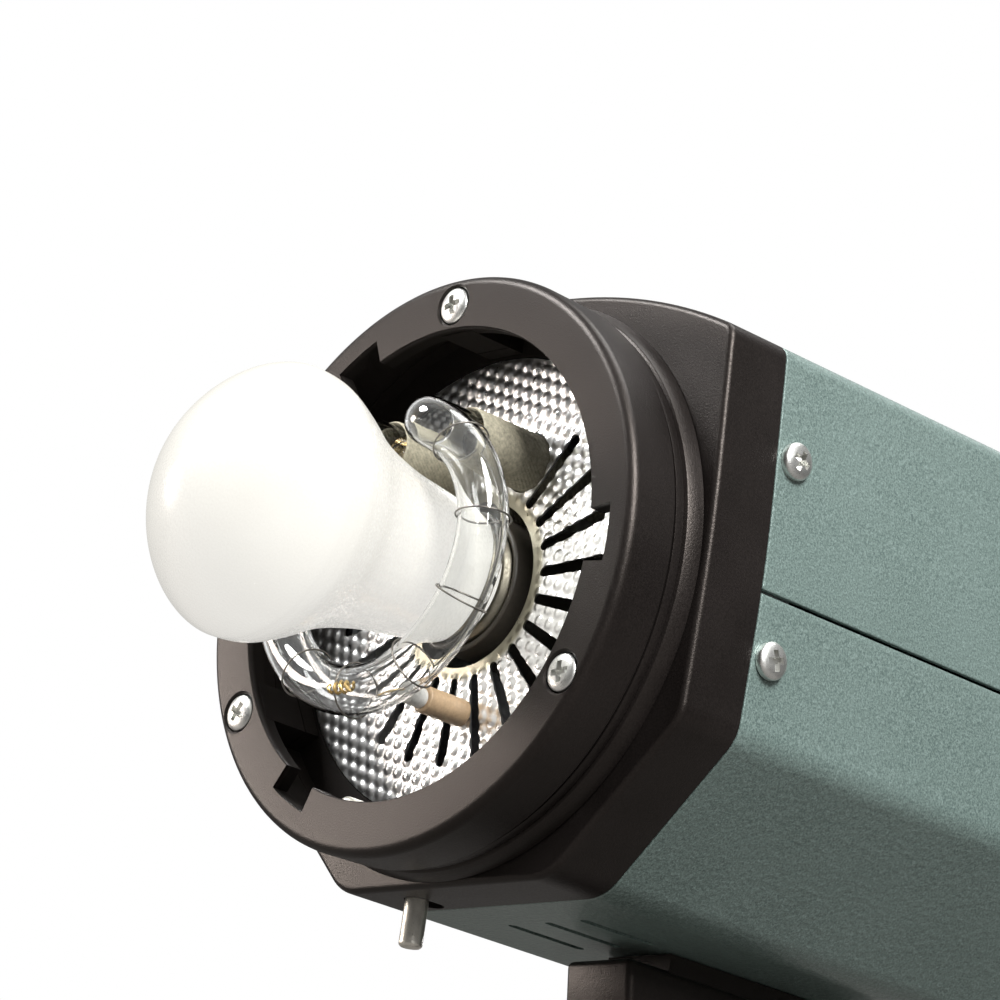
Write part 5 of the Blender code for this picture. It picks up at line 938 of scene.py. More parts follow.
def panHoles():
    # each hole as the two ends of its middle line and the radius at each end
    p = pan
    holes = []
    for side in (-1, 1):
        at = Vector((side * tube["legX"], tube["legZ"]))
        holes.append((at, at, sleeve["radius"] + p["sleeveGap"], sleeve["radius"] + p["sleeveGap"]))
    for angle in (p["firstSlot"] + 360 * i / p["slots"] for i in range(p["slots"])):
        if abs((angle + 180) % 360 - 180) > p["clear"]:
            holes.append((Vector(clock(p["inner"], angle)), Vector(clock(p["outer"], angle)),
                          p["innerWidth"] / 2, p["outerWidth"] / 2))
    return holes


def holeEdge(point, hole):
    # how far a point is inside the hole, and the nearest point on the hole's edge
    start, end, first, last = hole
    run = end - start
    share = 0.0 if run.length < 1e-9 else min(1.0, max(0.0, (point - start).dot(run) / run.length_squared))
    centre = start + run * share
    radius = first + (last - first) * share
    away = point - centre
    if away.length < 1e-9:
        away = Vector((1e-9, 0))
    return radius - away.length, centre + away.normalized() * radius


def makePan():
    # a fine ring grid without its cells in the holes, its border moved onto the holes' edges
    p = pan
    count, rows = p["columns"], p["rows"]
    step = (p["radius"] - p["hole"]) / rows

    def at(row, column):
        turn, radius = 2 * pi * column / count, p["hole"] + step * row
        return Vector((radius * cos(turn), radius * sin(turn)))

    points = {(row, column): at(row, column) for row in range(rows + 1) for column in range(count)}
    dropped = set()
    for hole in panHoles():
        start, end, first, last = hole
        middle, half, widest = (start + end) / 2, (end - start).length / 2, max(first, last)
        reach = half + widest + 2 * step
        centre = round(atan2(middle.y, middle.x) / (2 * pi) * count)
        span = int(asin(min(1.0, (widest + 1) / (middle.length - half))) / (2 * pi) * count) + 2
        low = max(0, int((middle.length - reach - p["hole"]) / step))
        high = min(rows, int((middle.length + reach - p["hole"]) / step) + 1)
        inside = {(row, column % count) for row in range(low, high)
                  for column in range(centre - span, centre + span + 1)
                  if holeEdge(at(row + 0.5, column + 0.5), hole)[0] > 0}
        for row in range(low, high + 1):
            for column in range(centre - span, centre + span + 2):
                around = [(row + r, (column + c) % count) in inside for r in (-1, 0) for c in (-1, 0)]
                if any(around) and not all(around):
                    points[row, column % count] = holeEdge(at(row, column), hole)[1]
        dropped |= inside
    bm = bmesh.new()
    verts = {}

    def vert(row, column):
        key = (row, column % count)
        if key not in verts:
            x, z = points[key]
            radius = hypot(x, z)
            edge = min(1.0, (p["radius"] - radius) / 0.8, max(0.0, (radius - p["hole"]) / p["plain"] - 0.4))
            verts[key] = bm.verts.new((x, p["depth"] - p["height"] * stuccoHeight(x, z) * max(0.0, edge), z))
        return verts[key]

    for row in range(rows):
        for column in range(count):
            if (row, column) not in dropped:
                bm.faces.new([vert(row + r, column + c) for r, c in ((0, 0), (0, 1), (1, 1), (1, 0))])
    faces, rims = bm.faces[:], [edge for edge in bm.edges if edge.is_boundary]
    behind = {v: bm.verts.new((v.co.x, p["depth"] + p["sheet"], v.co.z)) for v in bm.verts[:]}
    for face in faces:
        bm.faces.new([behind[v] for v in reversed(face.verts[:])])
    for a, b in (edge.verts for edge in rims):
        bm.faces.new((a, b, behind[b], behind[a]))
    fit(toPiece("reflectorPan", bm), "stucco_aluminium", "head", "reflector_pan", sharp=50)
    print("reflector pan made")


holder = {
    "radius": 15.2, "bore": 13.8, "front": 14.6, "flangeRadius": 19, "flange": 3, "floor": 2.6, "contact": 3,
}
lamp = {
    "cap": 13.3, "thread": 0.9, "pitch": 3.63, "turns": 5, "capLength": 26,
    "tip": -63, "widest": -42, "radius": 28.6, "domePower": 1.25,
    "neck": ((-42.0, 28.6), (-39.0, 28.45), (-36.0, 27.8), (-31.0, 25.5), (-25.2, 22.3), (-20.5, 20.3),
             (-15.0, 18.6), (-8.4, 17.1), (1.0, 15.8), (11.7, 14.0)),
}


def makeLamp():
    m, h = lamp, holder
    profile = []
    for turn in (pi / 2 * i / 40 for i in range(40)):
        profile.append((m["radius"] * sin(turn) ** m["domePower"],
                        m["widest"] - (m["widest"] - m["tip"]) * cos(turn) ** m["domePower"]))
    neckEnd = m["neck"][-1][0]
    profile += [(p.x, p.y) for p in smoothPath([(r, d, 0) for d, r in m["neck"]])] + [(0, neckEnd)]
    fit(lathe("lampGlass", profile, steps=128), "opal_glass", "lamp", "lamp_glass", sharp=60)
    front = neckEnd + gap
    back = front + m["capLength"]
    profile = [(0, front), (m["cap"] - 0.3, front), (m["cap"], front + 0.3)]
    for i in range(m["turns"] * 12 + 1):
        wave = 0.5 + 0.5 * cos(2 * pi * i / 12)
        profile.append((m["cap"] - m["thread"] * wave, front + 1.5 + i * m["pitch"] / 12))
    profile += [(5.5, back - 2.5), (4.5, back), (0, back)]
    fit(lathe("lampCap", profile), "cap_metal", "lamp", "lamp_cap", slot="aluminium", sharp=50)
    rear = framePlate - gap
    floor, contact, flange = rear - h["floor"], back + gap, rear - h["flange"]
    profile = [(0, contact), (h["contact"], contact), (h["contact"], floor), (h["bore"], floor),
               (h["bore"], h["front"] + 0.5), (h["bore"] + 0.5, h["front"]), (h["radius"] - 0.4, h["front"]),
               (h["radius"], h["front"] + 0.4), (h["radius"], flange), (h["flangeRadius"], flange),
               (h["flangeRadius"], rear), (0, rear)]
    piece = lathe("lampHolder", soften(profile, 0.2, 2))
    # painted shade: the holder takes a dark brown finish in place of its white ceramic
    fit(piece, "holder_glaze", "head", "lamp_holder", slot="ceramic_white")
    print("lamp made")


# body

body = {"sheet": 1.5, "length": 233, "seam": -2.0, "seamGap": 0.8, "edge": 0.35}
louvres = {"x": (-11.0, 0.0, 10.5), "start": 52, "length": 19.6, "width": 2.2}
sideScrews = {
    "cover": 26.7, "chassis": -15.3, "fromEdge": 4.8, "head": 3.9, "height": 2.2, "shank": 1.9, "length": 7,
    "spins": (25, 70, 10, 40, 55, 15),
}
bodyBack = bodyFront + body["length"]


def clippedOutline(height, sign):
    # the part of the section above the height, or below it with a negative sign
    outline = bodyOutline()
    crossings, kept = [], []
    count = len(outline)
    for i in range(count):
        here, after = Vector(outline[i]), Vector(outline[(i + 1) % count])
        if sign * (here.y - height) > 0:
            kept.append((i, here))
        if (here.y - height) * (after.y - height) < 0:
            crossings.append((i + 0.5, here.lerp(after, (height - here.y) / (after.y - here.y))))
    start = next(c for c in crossings if sign * c[1].x > 0)
    end = next(c for c in crossings if sign * c[1].x < 0)
    ordered = sorted(kept, key=lambda item: (item[0] - start[0]) % count)
    return [start[1]] + [point for index, point in ordered] + [end[1]]


def sheetShell(name, strip):
    bm = bmesh.new()
    rows = [[bm.verts.new((p.x, depth, p.y)) for p in strip]
            for depth in (bodyFront, bodyFront + 0.6, bodyBack - 0.6, bodyBack)]
    for low, high in zip(rows, rows[1:]):
        for i in range(len(strip) - 1):
            bm.faces.new((low[i], low[i + 1], high[i + 1], high[i]))
    bm.normal_update()
    if sum(f.normal.x * f.calc_center_median().x for f in bm.faces) < 0:
        bmesh.ops.reverse_faces(bm, faces=bm.faces)
    piece = toPiece(name, bm, recalculate=False)
    wall = piece.modifiers.new("sheet", "SOLIDIFY")
    wall.thickness, wall.offset, wall.use_even_offset = body["sheet"] * mm, -1, True
    settle(piece)
    return easeEdges(piece, body["edge"], 2, 50)


def makeBody():
    s = sideScrews
    cover = sheetShell("upperCover", clippedOutline(body["seam"] + body["seamGap"] / 2, 1))
    chassis = sheetShell("lowerChassis", clippedOutline(body["seam"] - body["seamGap"] / 2, -1))
    front, rear = bodyFront + s["fromEdge"], bodyBack - s["fromEdge"]
    for sheet, depth, kind in ((cover, front, "cover"), (cover, rear, "cover"), (chassis, front, "chassis")):
        cut(sheet, drill(s["shank"] + gap, 300, (0, depth, s[kind]), "right"))
    for x in louvres["x"]:
        way = longHole((x, louvres["start"]), (x, louvres["start"] + louvres["length"]), louvres["width"])
        cut(chassis, slab("louvre", [way], 6, (0, 0, bottom), "up"))
    for depth in lug["bolts"]:
        cut(chassis, drill(lug["boltRadius"] + gap, 9, (0, depth, bottom), "up"))
    fit(cover, "green_paint", "head", "upper_cover", sharp=40)
    fit(chassis, "green_paint", "head", "lower_chassis", sharp=40)
    places = [("cover", 1, front), ("cover", 3, rear), ("chassis", 1, front)]
    spins = iter(s["spins"])
    for kind, first, depth in places:
        for number, side, facing in ((first, -1, "left"), (first + 1, 1, "right")):
            place = (side * (sideX(s[kind]) + gap / 2), depth, s[kind])
            crossScrew(f"{kind}_screw_{number}", s, place, facing, next(spins))
    print("body made")


# bracket

lug = {
    "width": 19.6, "front": 67, "back": 143, "top": -67, "shoulder": -78, "lean": 1.5, "boss": 14,
    "edge": 1.6, "padFront": 79, "padBack": 135, "bolts": (90, 125), "boltRadius": 3.0, "boltReach": 12,
}
pivot = {"height": 84, "above": 92, "behind": 105}
fork = {
    "washer": 1.0, "washerRadius": 12, "cheek": 7, "cheekRadius": 14, "floor": 20, "column": 15, "bore": 8.1,
    "depth": 56, "leadIn": 1.2, "edge": 1.2,
}
bolt = {"radius": 4.0, "head": 6.8, "height": 5.5, "key": 2.9, "keyDepth": 3.2}
handle = {"hub": 10, "hubLength": 14, "length": 46, "radius": 5.0, "lean": 10}
knob = {"height": 28, "radius": 12.5, "length": 16, "neck": 3, "screw": 3.9, "flutes": 6, "flute": 3.4}
standAt = Vector((0, 0, 0))
cheekInner = lug["width"] / 2 + fork["washer"] + 2 * gap
cheekOuter = cheekInner + fork["cheek"]


def makeLug():
    g = lug
    outline = [(g["front"], g["top"]), (g["front"] + g["lean"], g["shoulder"])]
    outline += arc((pivot["behind"], -pivot["above"]), g["boss"], 200, 140, 32)
    outline += [(g["back"], g["shoulder"] + 5), (g["back"], g["top"])]
    piece = slab("bracketLug", [outline], g["width"], facing="side")
    easeEdges(piece, g["edge"], 5, 40)
    join(piece, blockBetween("pad", g["width"] - 1, g["padFront"], g["padBack"], g["top"] - 3, bottom - gap))
    cut(piece, drill(bolt["radius"] + gap, 40, (0, pivot["behind"], -pivot["above"]), "right"))
    seat = bottom + body["sheet"] + gap
    for depth in g["bolts"]:
        cut(piece, drill(g["boltRadius"] + gap, 2 * (g["boltReach"] + gap), (0, depth, seat), "up"))
    fit(piece, "satin_black", "head", "bracket_lug")


def makeFork():
    f = fork
    base = pivot["height"] - f["floor"]
    profile = [
        (0, f["depth"]), (f["bore"], f["depth"]), (f["bore"], f["leadIn"]), (f["bore"] + f["leadIn"], 0),
        (f["column"] - 1, 0), (f["column"], 1), (f["column"], base - 2), (0, base - 2),
    ]
    piece = lathe("standFork", profile, facing="up", origin=standAt)
    outline = arc((0, pivot["height"]), f["cheekRadius"], 0, 180, 32)
    outline += [(-f["cheekRadius"] + 2, base - 9), (f["cheekRadius"] - 2, base - 9)]
    cheeks = slab("cheeks", [outline], 2 * cheekOuter, facing="side", origin=standAt)
    easeEdges(cheeks, f["edge"], 4, 40)
    room = 2 * f["cheekRadius"] + f["floor"]
    between = block("between", (2 * cheekInner, 4 * f["cheekRadius"], room), (0, 0, base + room / 2), standAt)
    join(piece, cheeks)
    way = rodProfile(knob["screw"] + gap, 0, 30)
    cut(piece, between, drill(bolt["radius"] + gap, 100, (0, 0, pivot["height"]), "right", origin=standAt),
        lathe("screwWay", way, (0, 0, knob["height"]), "left", 48, standAt))
    fit(piece, "satin_black", "stand", "stand_fork")


def makeTiltHardware():
    left, right = -cheekOuter - gap, cheekOuter + gap
    end = right + handle["hubLength"] - 4
    face = left - bolt["height"]
    at = (0, 0, pivot["height"])
    profile = [(0, face), (bolt["head"] - 1, face), (bolt["head"], face + 1), (bolt["head"], left),
               (bolt["radius"], left), (bolt["radius"], end), (0, end)]
    piece = lathe("tiltBolt", soften(profile, 0.4, 3), at, "right", 64, standAt)
    key = [(0, face - 1), (bolt["key"], face - 1), (bolt["key"], face + bolt["keyDepth"]),
           (0, face + bolt["keyDepth"] + 0.8)]
    cut(piece, lathe("key", key, at, "right", 6, standAt))
    fit(piece, "zinc_steel", "clamp", "tilt_bolt")
    way, hub, hubEnd = bolt["radius"] + gap, handle["hub"], right + handle["hubLength"]
    profile = [(0, end + gap), (way, end + gap), (way, right), (hub, right), (hub, hubEnd - 2),
               (hub - 2, hubEnd), (0, hubEnd)]
    piece = lathe("tiltHandle", soften(profile, 0.7, 4), at, "right", 64, standAt)
    length, thick = handle["length"], handle["radius"]
    lever = [(0, 0), (thick * 0.8, 0), (thick, -length * 0.45), (thick * 1.15, -length * 0.85),
             (thick * 0.8, -length), (0, -length)]
    arm = lathe("arm", soften(lever, 1.6, 5), (0, 0, 0), "up", 48, standAt)
    middle = Vector((right + handle["hubLength"] / 2, 0, pivot["height"] - hub + 3))
    arm.data.transform(shift(middle * mm) @ rotate(-handle["lean"], "Y"))
    join(piece, arm)
    fit(piece, "knob_black", "clamp", "tilt_handle", sharp=40)
    thick, outer, inner = fork["washer"], fork["washerRadius"], lug["width"] / 2 + gap
    washer = soften([(way, 0), (outer, 0), (outer, thick), (way, thick)], 0.2, 2)
    for node, start in (("friction_washer_left", -inner - thick), ("friction_washer_right", inner)):
        piece = lathe(camel(node), washer, (start, 0, pivot["height"]), "right", 64, standAt)
        fit(piece, "washer_fibre", "stand", node)


def makeSocketKnob():
    k = knob
    tip, neck = fork["bore"] + gap, fork["column"] + gap
    face = neck + k["neck"]
    back = face + k["length"]
    profile = [
        (0, tip), (k["screw"], tip), (k["screw"], neck), (k["screw"] + 2.5, neck), (k["screw"] + 2.5, face),
        (k["radius"] - 1, face), (k["radius"], face + 1), (k["radius"], back - 1.5),
        (k["radius"] - 1.5, back), (0, back),
    ]
    piece = lathe("socketKnob", soften(profile, 0.5, 3), (0, 0, k["height"]), "left", 96, standAt)
    flute = rodProfile(k["flute"], 0, k["length"] + 4)
    for y, z in circle(k["radius"] + k["flute"] * 0.45, k["flutes"], (0, k["height"])):
        cut(piece, lathe("flute", flute, (-face + 2, y, z), "left", 32, standAt))
    easeEdges(piece, 0.5, 3, 45)
    fit(piece, "knob_black", "knob", "socket_knob", sharp=40)
    print("bracket made")


# rear

rear = {"length": 14, "ledge": 4, "wall": 4, "ledgeWidth": 4, "edge": 1.6, "panel": 2.5, "frontGap": 0.3}
rearFront = bodyBack + rear["frontGap"]
panelFront = rearFront + rear["ledge"] + gap
panelBack = panelFront + rear["panel"]
fan = {
    "z": 21, "size": 60, "depth": 15, "bore": 28.5, "hub": 13, "blades": 7, "tip": 27.5, "pitch": 32,
    "twist": 20, "chord": 12.2, "bow": 0.9, "strut": 3,
    "grille": 8, "grillePitch": 6, "grilleWidth": 3.2, "grilleRadius": 26,
}
dial = {"radius": 11.5, "height": 14, "shaft": 3, "flutes": 30, "flute": 0.5, "above": 0.8}
rocker = {"length": 18, "width": 11.5, "slope": 14.3}
inlet = {"width": 28, "height": 20, "blades": ((-7, -2), (0, 3), (7, -2))}
fuse = {"radius": 6.3}
button = {"radius": 4.5}
window = {"radius": 5}
sync = {"radius": 5.5, "bore": 3.4, "flange": 6.9}
marks = {"depth": 0.12, "tick": 0.45, "tickLength": 1.5, "figure": 2.7, "offset": 1.6, "figures": "1234567"}


def control(node):
    # a control's place and depths come from its CAD node, so that it keeps to the frame
    low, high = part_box(node)
    middle = (low + high) / 2 / mm - headAt
    return round(middle.x, 1), round(middle.z, 1), low.y / mm - headAt.y, high.y / mm - headAt.y


def makeRearShell():
    r = rear
    piece = slab("rearBezel", [bodyOutline()], r["length"], (0, rearFront + r["length"] / 2, 0))
    easeEdges(piece, r["edge"], 5, 60)
    opening = slab("opening", [bodyOutline(r["wall"] + r["ledgeWidth"])], 3 * r["length"], (0, rearFront, 0))
    middle = rearFront + r["ledge"] + r["length"] / 2
    recess = slab("recess", [bodyOutline(r["wall"])], r["length"], (0, middle, 0))
    cut(piece, opening, recess)
    fit(piece, "satin_black", "head", "rear_bezel")
    holes = []
    for node, radius, steps in (
            ("power_dial", dial["shaft"], 32), ("lamp_dial", dial["shaft"], 32),
            ("test_button", button["radius"], 48), ("photocell", window["radius"], 48),
            ("sync_socket", sync["radius"], 48), ("fuse_cap", fuse["radius"], 48)):
        holes.append(circle(radius + gap, steps, control(node)))
    for node, width, height, radius in (
            ("mains_inlet", inlet["width"], inlet["height"], 0.8),
            ("mains_switch", rocker["length"], rocker["width"], 0.5),
            ("lamp_switch", rocker["length"], rocker["width"], 0.5)):
        holes.append(softBox(width + 2 * gap, height + 2 * gap, radius, control(node)))
    for i in range(fan["grille"]):
        level = (i - (fan["grille"] - 1) / 2) * fan["grillePitch"]
        reach = sqrt(fan["grilleRadius"] ** 2 - level ** 2) - fan["grilleWidth"] / 2
        holes.append(longHole((-reach, fan["z"] + level), (reach, fan["z"] + level), fan["grilleWidth"]))
    middle = panelFront + r["panel"] / 2
    panel = slab("rearPanel", [bodyOutline(r["wall"] + gap)] + holes, r["panel"], (0, middle, 0))
    easeEdges(panel, 0.3, 2, 60)
    fit(panel, "panel_grey", "head", "rear_panel")


def makeDial(node, body):
    d, (x, z, front, back) = dial, control(node)
    board, start, radius = panelBack - front, dial["above"], dial["radius"]
    top = start + d["height"]
    profile = [(0, -board), (d["shaft"], -board), (d["shaft"], start), (radius, start), (radius, start + 3),
               (radius - 1.6, start + 4.5), (radius - 2.2, top - 1), (radius - 3.2, top), (0, top)]
    piece = lathe(camel(node), soften(profile, 0.5, 3), (x, panelBack, z), steps=120)
    bm = bmesh.new()
    for u, v in circle(radius - 1.75, d["flutes"]):
        bmesh.ops.create_cone(bm, cap_ends=True, segments=12, radius1=d["flute"], radius2=d["flute"],
                              depth=d["height"] - 4, matrix=shift((u, v, start + 5 + d["height"] / 2)))
    cut(piece, toPiece("flutes", bm, (x, panelBack, z), "back"))
    cut(piece, block("line", (1.2, 2, radius * 0.75), (x, panelBack + top, z + radius * 0.42)))
    fit(piece, "knob_black", body, node, sharp=40)
    place = (x, panelBack + top - 0.55, z + radius * 0.40)
    inlay = block(camel(node) + "Line", (1.1, 0.8, radius * 0.62), place)
    easeEdges(inlay, 0.15, 2)
    fit(inlay, "print_white", body)


def makeRocker(node, body):
    x, z, front, back = control(node)
    half = rocker["length"] / 2 - 0.3
    face = rear["panel"] / 2 + 3.4
    outline = [(-half * 0.8, -6), (half * 0.8, -6), (half * 0.96, -0.5), (half * 0.9, face)]
    for share in (1 - 2 * i / 12 for i in range(1, 12)):
        outline.append((half * 0.9 * share, face - 1.5 * (1 - abs(share) ** 1.6)))
    outline += [(-half * 0.9, face), (-half * 0.96, -0.5)]
    middle, name = panelBack - rear["panel"] / 2, camel(node)
    piece = slab(name, [outline], rocker["width"] - 0.6, (x, middle, z), "up")
    easeEdges(piece, 0.4, 3, 30)
    fit(piece, "knob_black", body, node, sharp=40)
    bar = block(name + "On", (0.7, 0.5, 4))
    easeEdges(bar, 0.15, 2)
    loop = soften([(1.2, -0.25), (1.75, -0.25), (1.75, 0.25), (1.2, 0.25)], 0.1, 2)
    loop = lathe(name + "Off", loop, steps=48)
    start = shift(headAt * mm)
    for mark, side in ((bar, 1), (loop, -1)):
        seat = shift(Vector((x + side * half * 0.66, middle + face - 0.68, z)) * mm)
        mark.data.transform(start @ seat @ rotate(side * rocker["slope"], "Z") @ start.inverted())
        fit(mark, "print_white", body)


def makeMarks():
    # printed ticks and figures round the dials, read from behind
    m = marks
    bm = bmesh.new()
    for node in ("power_dial", "lamp_dial"):
        x, z, front, back = control(node)
        for i in range(13):
            angle = -135 + 270 * i / 12
            start = dial["radius"] + 1.0
            length = m["tickLength"] * (0.6 if i % 2 else 1.0)
            u, v = clock(start + length / 2, angle)
            addCube(bm, (m["tick"], length, m["depth"]), shift((-x + u, z + v, 0)) @ rotate(-angle, "Z"))
            if i % 2:
                continue
            letter = bpy.data.curves.new("figure", "FONT")
            letter.body, letter.size, letter.extrude = m["figures"][i // 2], m["figure"], m["depth"] / 2
            letter.align_x, letter.align_y = "CENTER", "CENTER"
            guide = newObject("figure", letter)
            mesh = evaluated(guide)
            bpy.data.objects.remove(guide)
            u, v = clock(start + m["tickLength"] + m["offset"], angle)
            mesh.transform(shift((-x + u, z + v, 0)))
            absorb(bm, mesh)
    bm.transform(Matrix(((-1, 0, 0, 0), (0, 0, 1, 0), (0, 1, 0, 0), (0, 0, 0, 1))))
    fit(toPiece("panelMarks", bm, (0, panelBack + m["depth"] / 2 + 0.01, 0)), "print_black", "head")


def makeSmallControls():
    foot = panelBack + gap
    x, z, front, back = control("test_button")
    radius = button["radius"]
    profile = [(0, front), (radius, front), (radius, back - 0.8), (3.7, back), (2.8, back), (0, back - 0.5)]
    piece = lathe("testButton", soften(profile, 0.4, 4), (x, 0, z), steps=64)
    fit(piece, "button_red", "test_key", "test_button")
    x, z, front, back = control("photocell")
    radius = window["radius"]
    profile = [(0, front), (radius, front)]
    for turn in (pi / 2 * i / 16 for i in range(16)):
        profile.append((radius * cos(turn), back - 4 + 4 * sin(turn)))
    piece = lathe("photocell_", profile + [(0, back)], (x, 0, z), steps=64)
    fit(piece, "lens_smoke", "head", "photocell", sharp=50)
    x, z, front, back = control("sync_socket")
    profile = [(sync["bore"], back), (sync["flange"], back), (sync["flange"], foot), (sync["radius"], foot),
               (sync["radius"], front), (sync["bore"], front)]
    piece = lathe("syncSocket", soften(profile, 0.3, 3), (x, 0, z), steps=64)
    fit(piece, "nickel", "head", "sync_socket")
    x, z, front, back = control("fuse_cap")
    radius = fuse["radius"]
    profile = [(0, front), (radius - 1.5, front), (radius - 1.5, foot), (radius + 0.8, foot),
               (radius + 0.8, back - 0.8), (radius, back), (0, back)]
    piece = lathe("fuseCap", soften(profile, 0.3, 3), (x, 0, z), steps=64)
    cut(piece, block("driverSlot", (2 * radius + 2, 1.6, 2.2), (x, back, z)))
    fit(piece, "knob_black", "fuse", "fuse_cap")
    x, z, front, back = control("mains_inlet")
    width, height = inlet["width"], inlet["height"]
    piece = slab("mainsInlet", [softBox(width, height, 0.8)], back - front, (x, (front + back) / 2, z))
    join(piece, slab("flange", [softBox(width + 4, height + 4, 2)], back - foot, (x, (back + foot) / 2, z)))
    easeEdges(piece, 0.35, 3, 50)
    w, h = width / 2, height / 2
    slant = [(-w + 2, -h + 2), (w - 2, -h + 2), (w - 2, h - 5), (w - 5, h - 2), (-w + 5, h - 2),
             (-w + 2, h - 5)]
    cut(piece, slab("well", [slant], 30, (x, back, z)))
    fit(piece, "knob_black", "head", "mains_inlet")
    for number, (dx, dz) in enumerate(inlet["blades"], 1):
        blade = block(f"inletBlade{number}", (2, 14, 4), (x + dx, panelBack - 8, z + dz))
        easeEdges(blade, 0.4, 3)
        fit(blade, "nickel", "head")


def makeFan():
    f = fan
    back = panelFront - gap
    front = back - f["depth"]
    middle = (front + back) / 2
    shell = slab("fanFrame", [softBox(f["size"], f["size"], 3, (0, f["z"]))], f["depth"], (0, middle, 0))
    easeEdges(shell, 0.5, 2, 50)
    cut(shell, drill(f["bore"], 2 * f["depth"], (0, middle, f["z"]), steps=128))
    span = 2 * f["bore"] + 1
    for size in ((span, 2, f["strut"]), (f["strut"], 2, span)):
        join(shell, block("strut", size, (0, front + 1.4, f["z"])))
    join(shell, lathe("motor", rodProfile(f["hub"] * 0.9, 0, 3), (0, front, f["z"]), steps=64))
    fit(shell, "knob_black", "head", "fan_frame")
    start, depth = front + 3 + gap, f["depth"] - 4 - gap
    hub = [(0, 0), (f["hub"], 0), (f["hub"], depth - 1), (f["hub"] - 1, depth), (0, depth)]
    rotor = lathe("fanRotor", soften(hub, 0.4, 3), (0, start, f["z"]))
    inner = f["hub"] * 0.8
    for i in range(f["blades"]):
        bm = bmesh.new()
        rows = []
        for row in range(13):
            reach = inner + (f["tip"] - 0.4 - inner) * row / 12
            twist = radians(f["pitch"] + f["twist"] / 2 - f["twist"] * row / 12)
            line = []
            for side in (1, -1):
                for across in (side * (col / 8 - 0.5) * f["chord"] for col in range(9)):
                    bow = f["bow"] * (1 - (across * 2 / f["chord"]) ** 2)
                    line.append(bm.verts.new((across * cos(twist) - bow * sin(twist),
                                              across * sin(twist) + bow * cos(twist) + side * 0.5, reach)))
            rows.append(line)
        bridge(bm, rows, True)
        bm.transform(shift((0, start + depth / 2, f["z"])) @ rotate(360 * i / f["blades"], "Y"))
        join(rotor, toPiece("blade", bm))
    fit(rotor, "knob_black", "fan", "fan_rotor")
    print("rear made")


# camera and light

view = {
    "lens": 158.8,
    "at": (0.6591, -0.5629, -0.2461),
    "right": (0.6878, 0.7120, 0.1416),
    "up": (0.1160, -0.3003, 0.9468),
    "back": (0.7166, -0.6348, -0.2892),
}
lights = {                      # place, size across, power
    "key": ((-1.68, -1.10, 0.46), 0.75, 17.5),
    "high": ((-0.75, -1.0, 1.35), 0.6, 34),
    "side": ((1.35, -0.55, 1.15), 0.7, 52),
    "top": ((0.25, 0.25, 1.7), 1.0, 16),
    "edge": ((1.55, -0.75, 0.75), 0.16, 9),
    "rear": ((-0.55, 1.7, 0.85), 1.0, 26),
}
studio = {
    "keyTint": (1.0, 0.90, 0.83),
    "sky": ((0.0, 0.02), (0.42, 0.05), (0.62, 0.20), (1.0, 0.40)),
    "floor": -0.11,
    "floorFade": (0.28, 0.85),  # where the floor starts and ends melting into the backdrop, m
    "paper": (0.375, 0.395),
    "paperUnseen": (0.10, 0.095, 0.09),
}


def makeCamera():
    data = bpy.data.cameras.new("camera")
    data.lens, data.sensor_width, data.clip_start = view["lens"], 36, 0.01
    camera = newObject("camera", data)
    axes = [Vector(view[name]).normalized() for name in ("right", "up", "back")]
    at = Vector(view["at"]) + headAt * mm
    camera.matrix_world = shift(at) @ Matrix(axes).transposed().to_4x4()
    bpy.context.scene.camera = camera


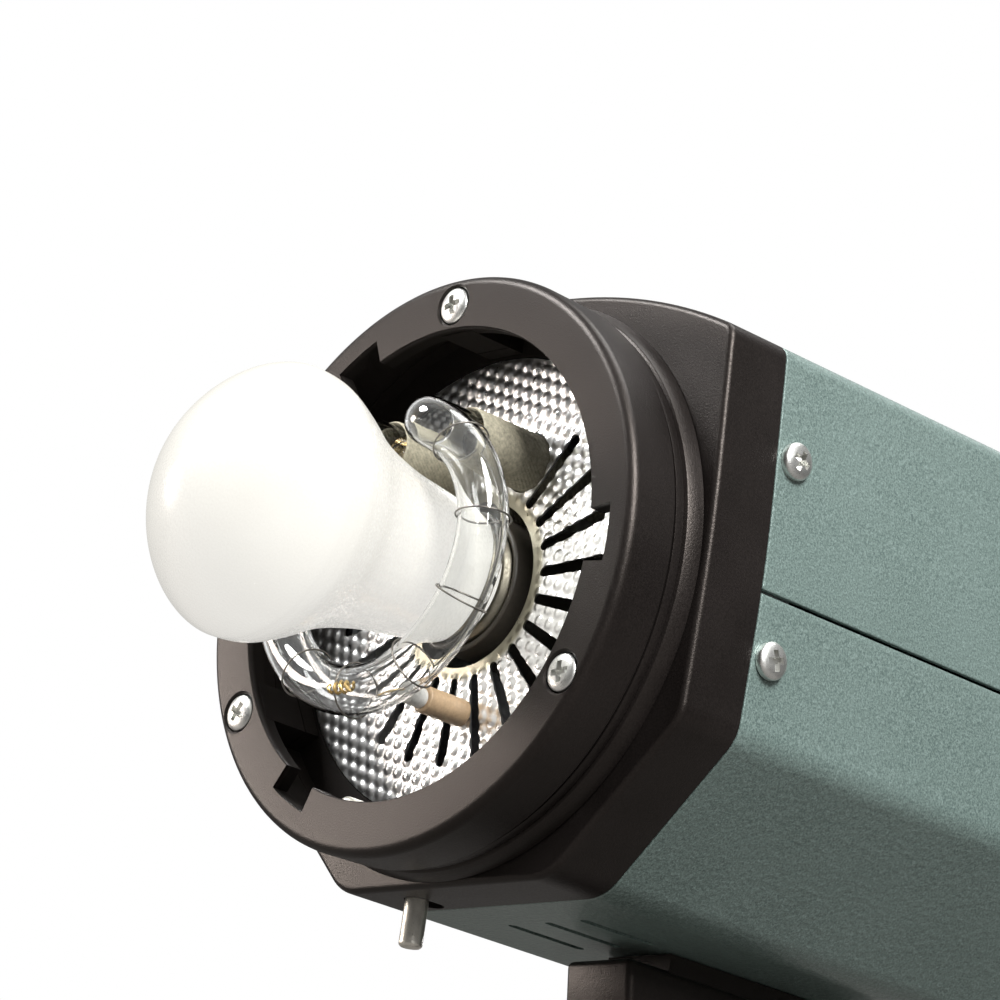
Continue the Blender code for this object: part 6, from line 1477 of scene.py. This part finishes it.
def makeLights():
    for name, (at, size, power) in lights.items():
        data = bpy.data.lights.new(name, "AREA")
        data.shape, data.size, data.energy = "DISK", size, power
        if name == "key":
            data.color = studio["keyTint"]
        aim = Vector((0, 0, 0.15)) - Vector(at)
        newObject(name, data).matrix_world = shift(at) @ aim.to_track_quat("-Z", "Y").to_matrix().to_4x4()
    world = bpy.data.worlds.new("studio")
    bpy.context.scene.world = world
    world.use_nodes = True
    tree = world.node_tree
    rays = addNode(tree, "LightPath").outputs
    ports = {0: rays["Is Camera Ray"], 1: rays["Is Transmission Ray"]}
    seen = addNode(tree, "Math", ports, operation="MAXIMUM")
    place = addNode(tree, "TexCoord").outputs["Generated"]
    height = addNode(tree, "SeparateXYZ", {0: place}).outputs["Z"]
    stops = [(stop, (value, value, value * 0.99)) for stop, value in studio["sky"]]
    sky = ramp(tree, spread(tree, height, 0, 1, -1.0), stops)
    background = tree.nodes["Background"].inputs
    feed(tree, background["Color"], blendColours(tree, seen.outputs[0], sky, (1, 1, 1)))
    background["Strength"].default_value = 1.0


def makeFloor():
    bm = bmesh.new()
    bmesh.ops.create_grid(bm, x_segments=1, y_segments=1, size=3.0, matrix=shift((0, 0, studio["floor"])))
    mesh = bpy.data.meshes.new("floor")
    bm.to_mesh(mesh)
    bm.free()
    tree = newFinish("floor_paper", (0.83, 0.83, 0.82), 0.9)
    tone = ramp(tree, noise(tree, 0.02, 3.0), list(zip((0.3, 0.7), studio["paper"])))
    seen = addNode(tree, "LightPath").outputs["Is Camera Ray"]
    surface(tree, Base_Color=blendColours(tree, seen, studio["paperUnseen"], tone))
    spot = addNode(tree, "TexCoord").outputs["Object"]
    reach = addNode(tree, "VectorMath", {0: spot}, operation="LENGTH").outputs["Value"]
    away = spread(tree, reach, 0, 1, *studio["floorFade"], interpolation_type="SMOOTHSTEP")
    paper = tree.nodes["Principled BSDF"].outputs[0]
    glow = addNode(tree, "Emission").outputs[0]
    melt = addNode(tree, "MixShader", {0: both(tree, away, seen), 1: paper, 2: glow}).outputs[0]
    # from below the floor is clear
    below = addNode(tree, "NewGeometry").outputs["Backfacing"]
    clear = addNode(tree, "BsdfTransparent").outputs[0]
    under = addNode(tree, "MixShader", {0: below, 1: melt, 2: clear}).outputs[0]
    feed(tree, tree.nodes["Material Output"].inputs["Surface"], under)
    mesh.materials.append(finishes["floor_paper"])
    newObject("floor", mesh)


for make in (makeRing, makeCollar, makeBezel, makeLatch, makePan, makeFlashTube, makeTubeMounts,
             makeTriggerWire, makeLamp, makeBody, makeLug, makeFork, makeTiltHardware, makeSocketKnob,
             makeRearShell):
    make()
makeDial("power_dial", "power_control")
makeDial("lamp_dial", "lamp_control")
makeRocker("mains_switch", "mains_rocker")
makeRocker("lamp_switch", "lamp_rocker")
for make in (makeSmallControls, makeMarks, makeFan, makeCamera, makeLights, makeFloor):
    make()
bpy.context.scene.view_settings.view_transform = "Standard"
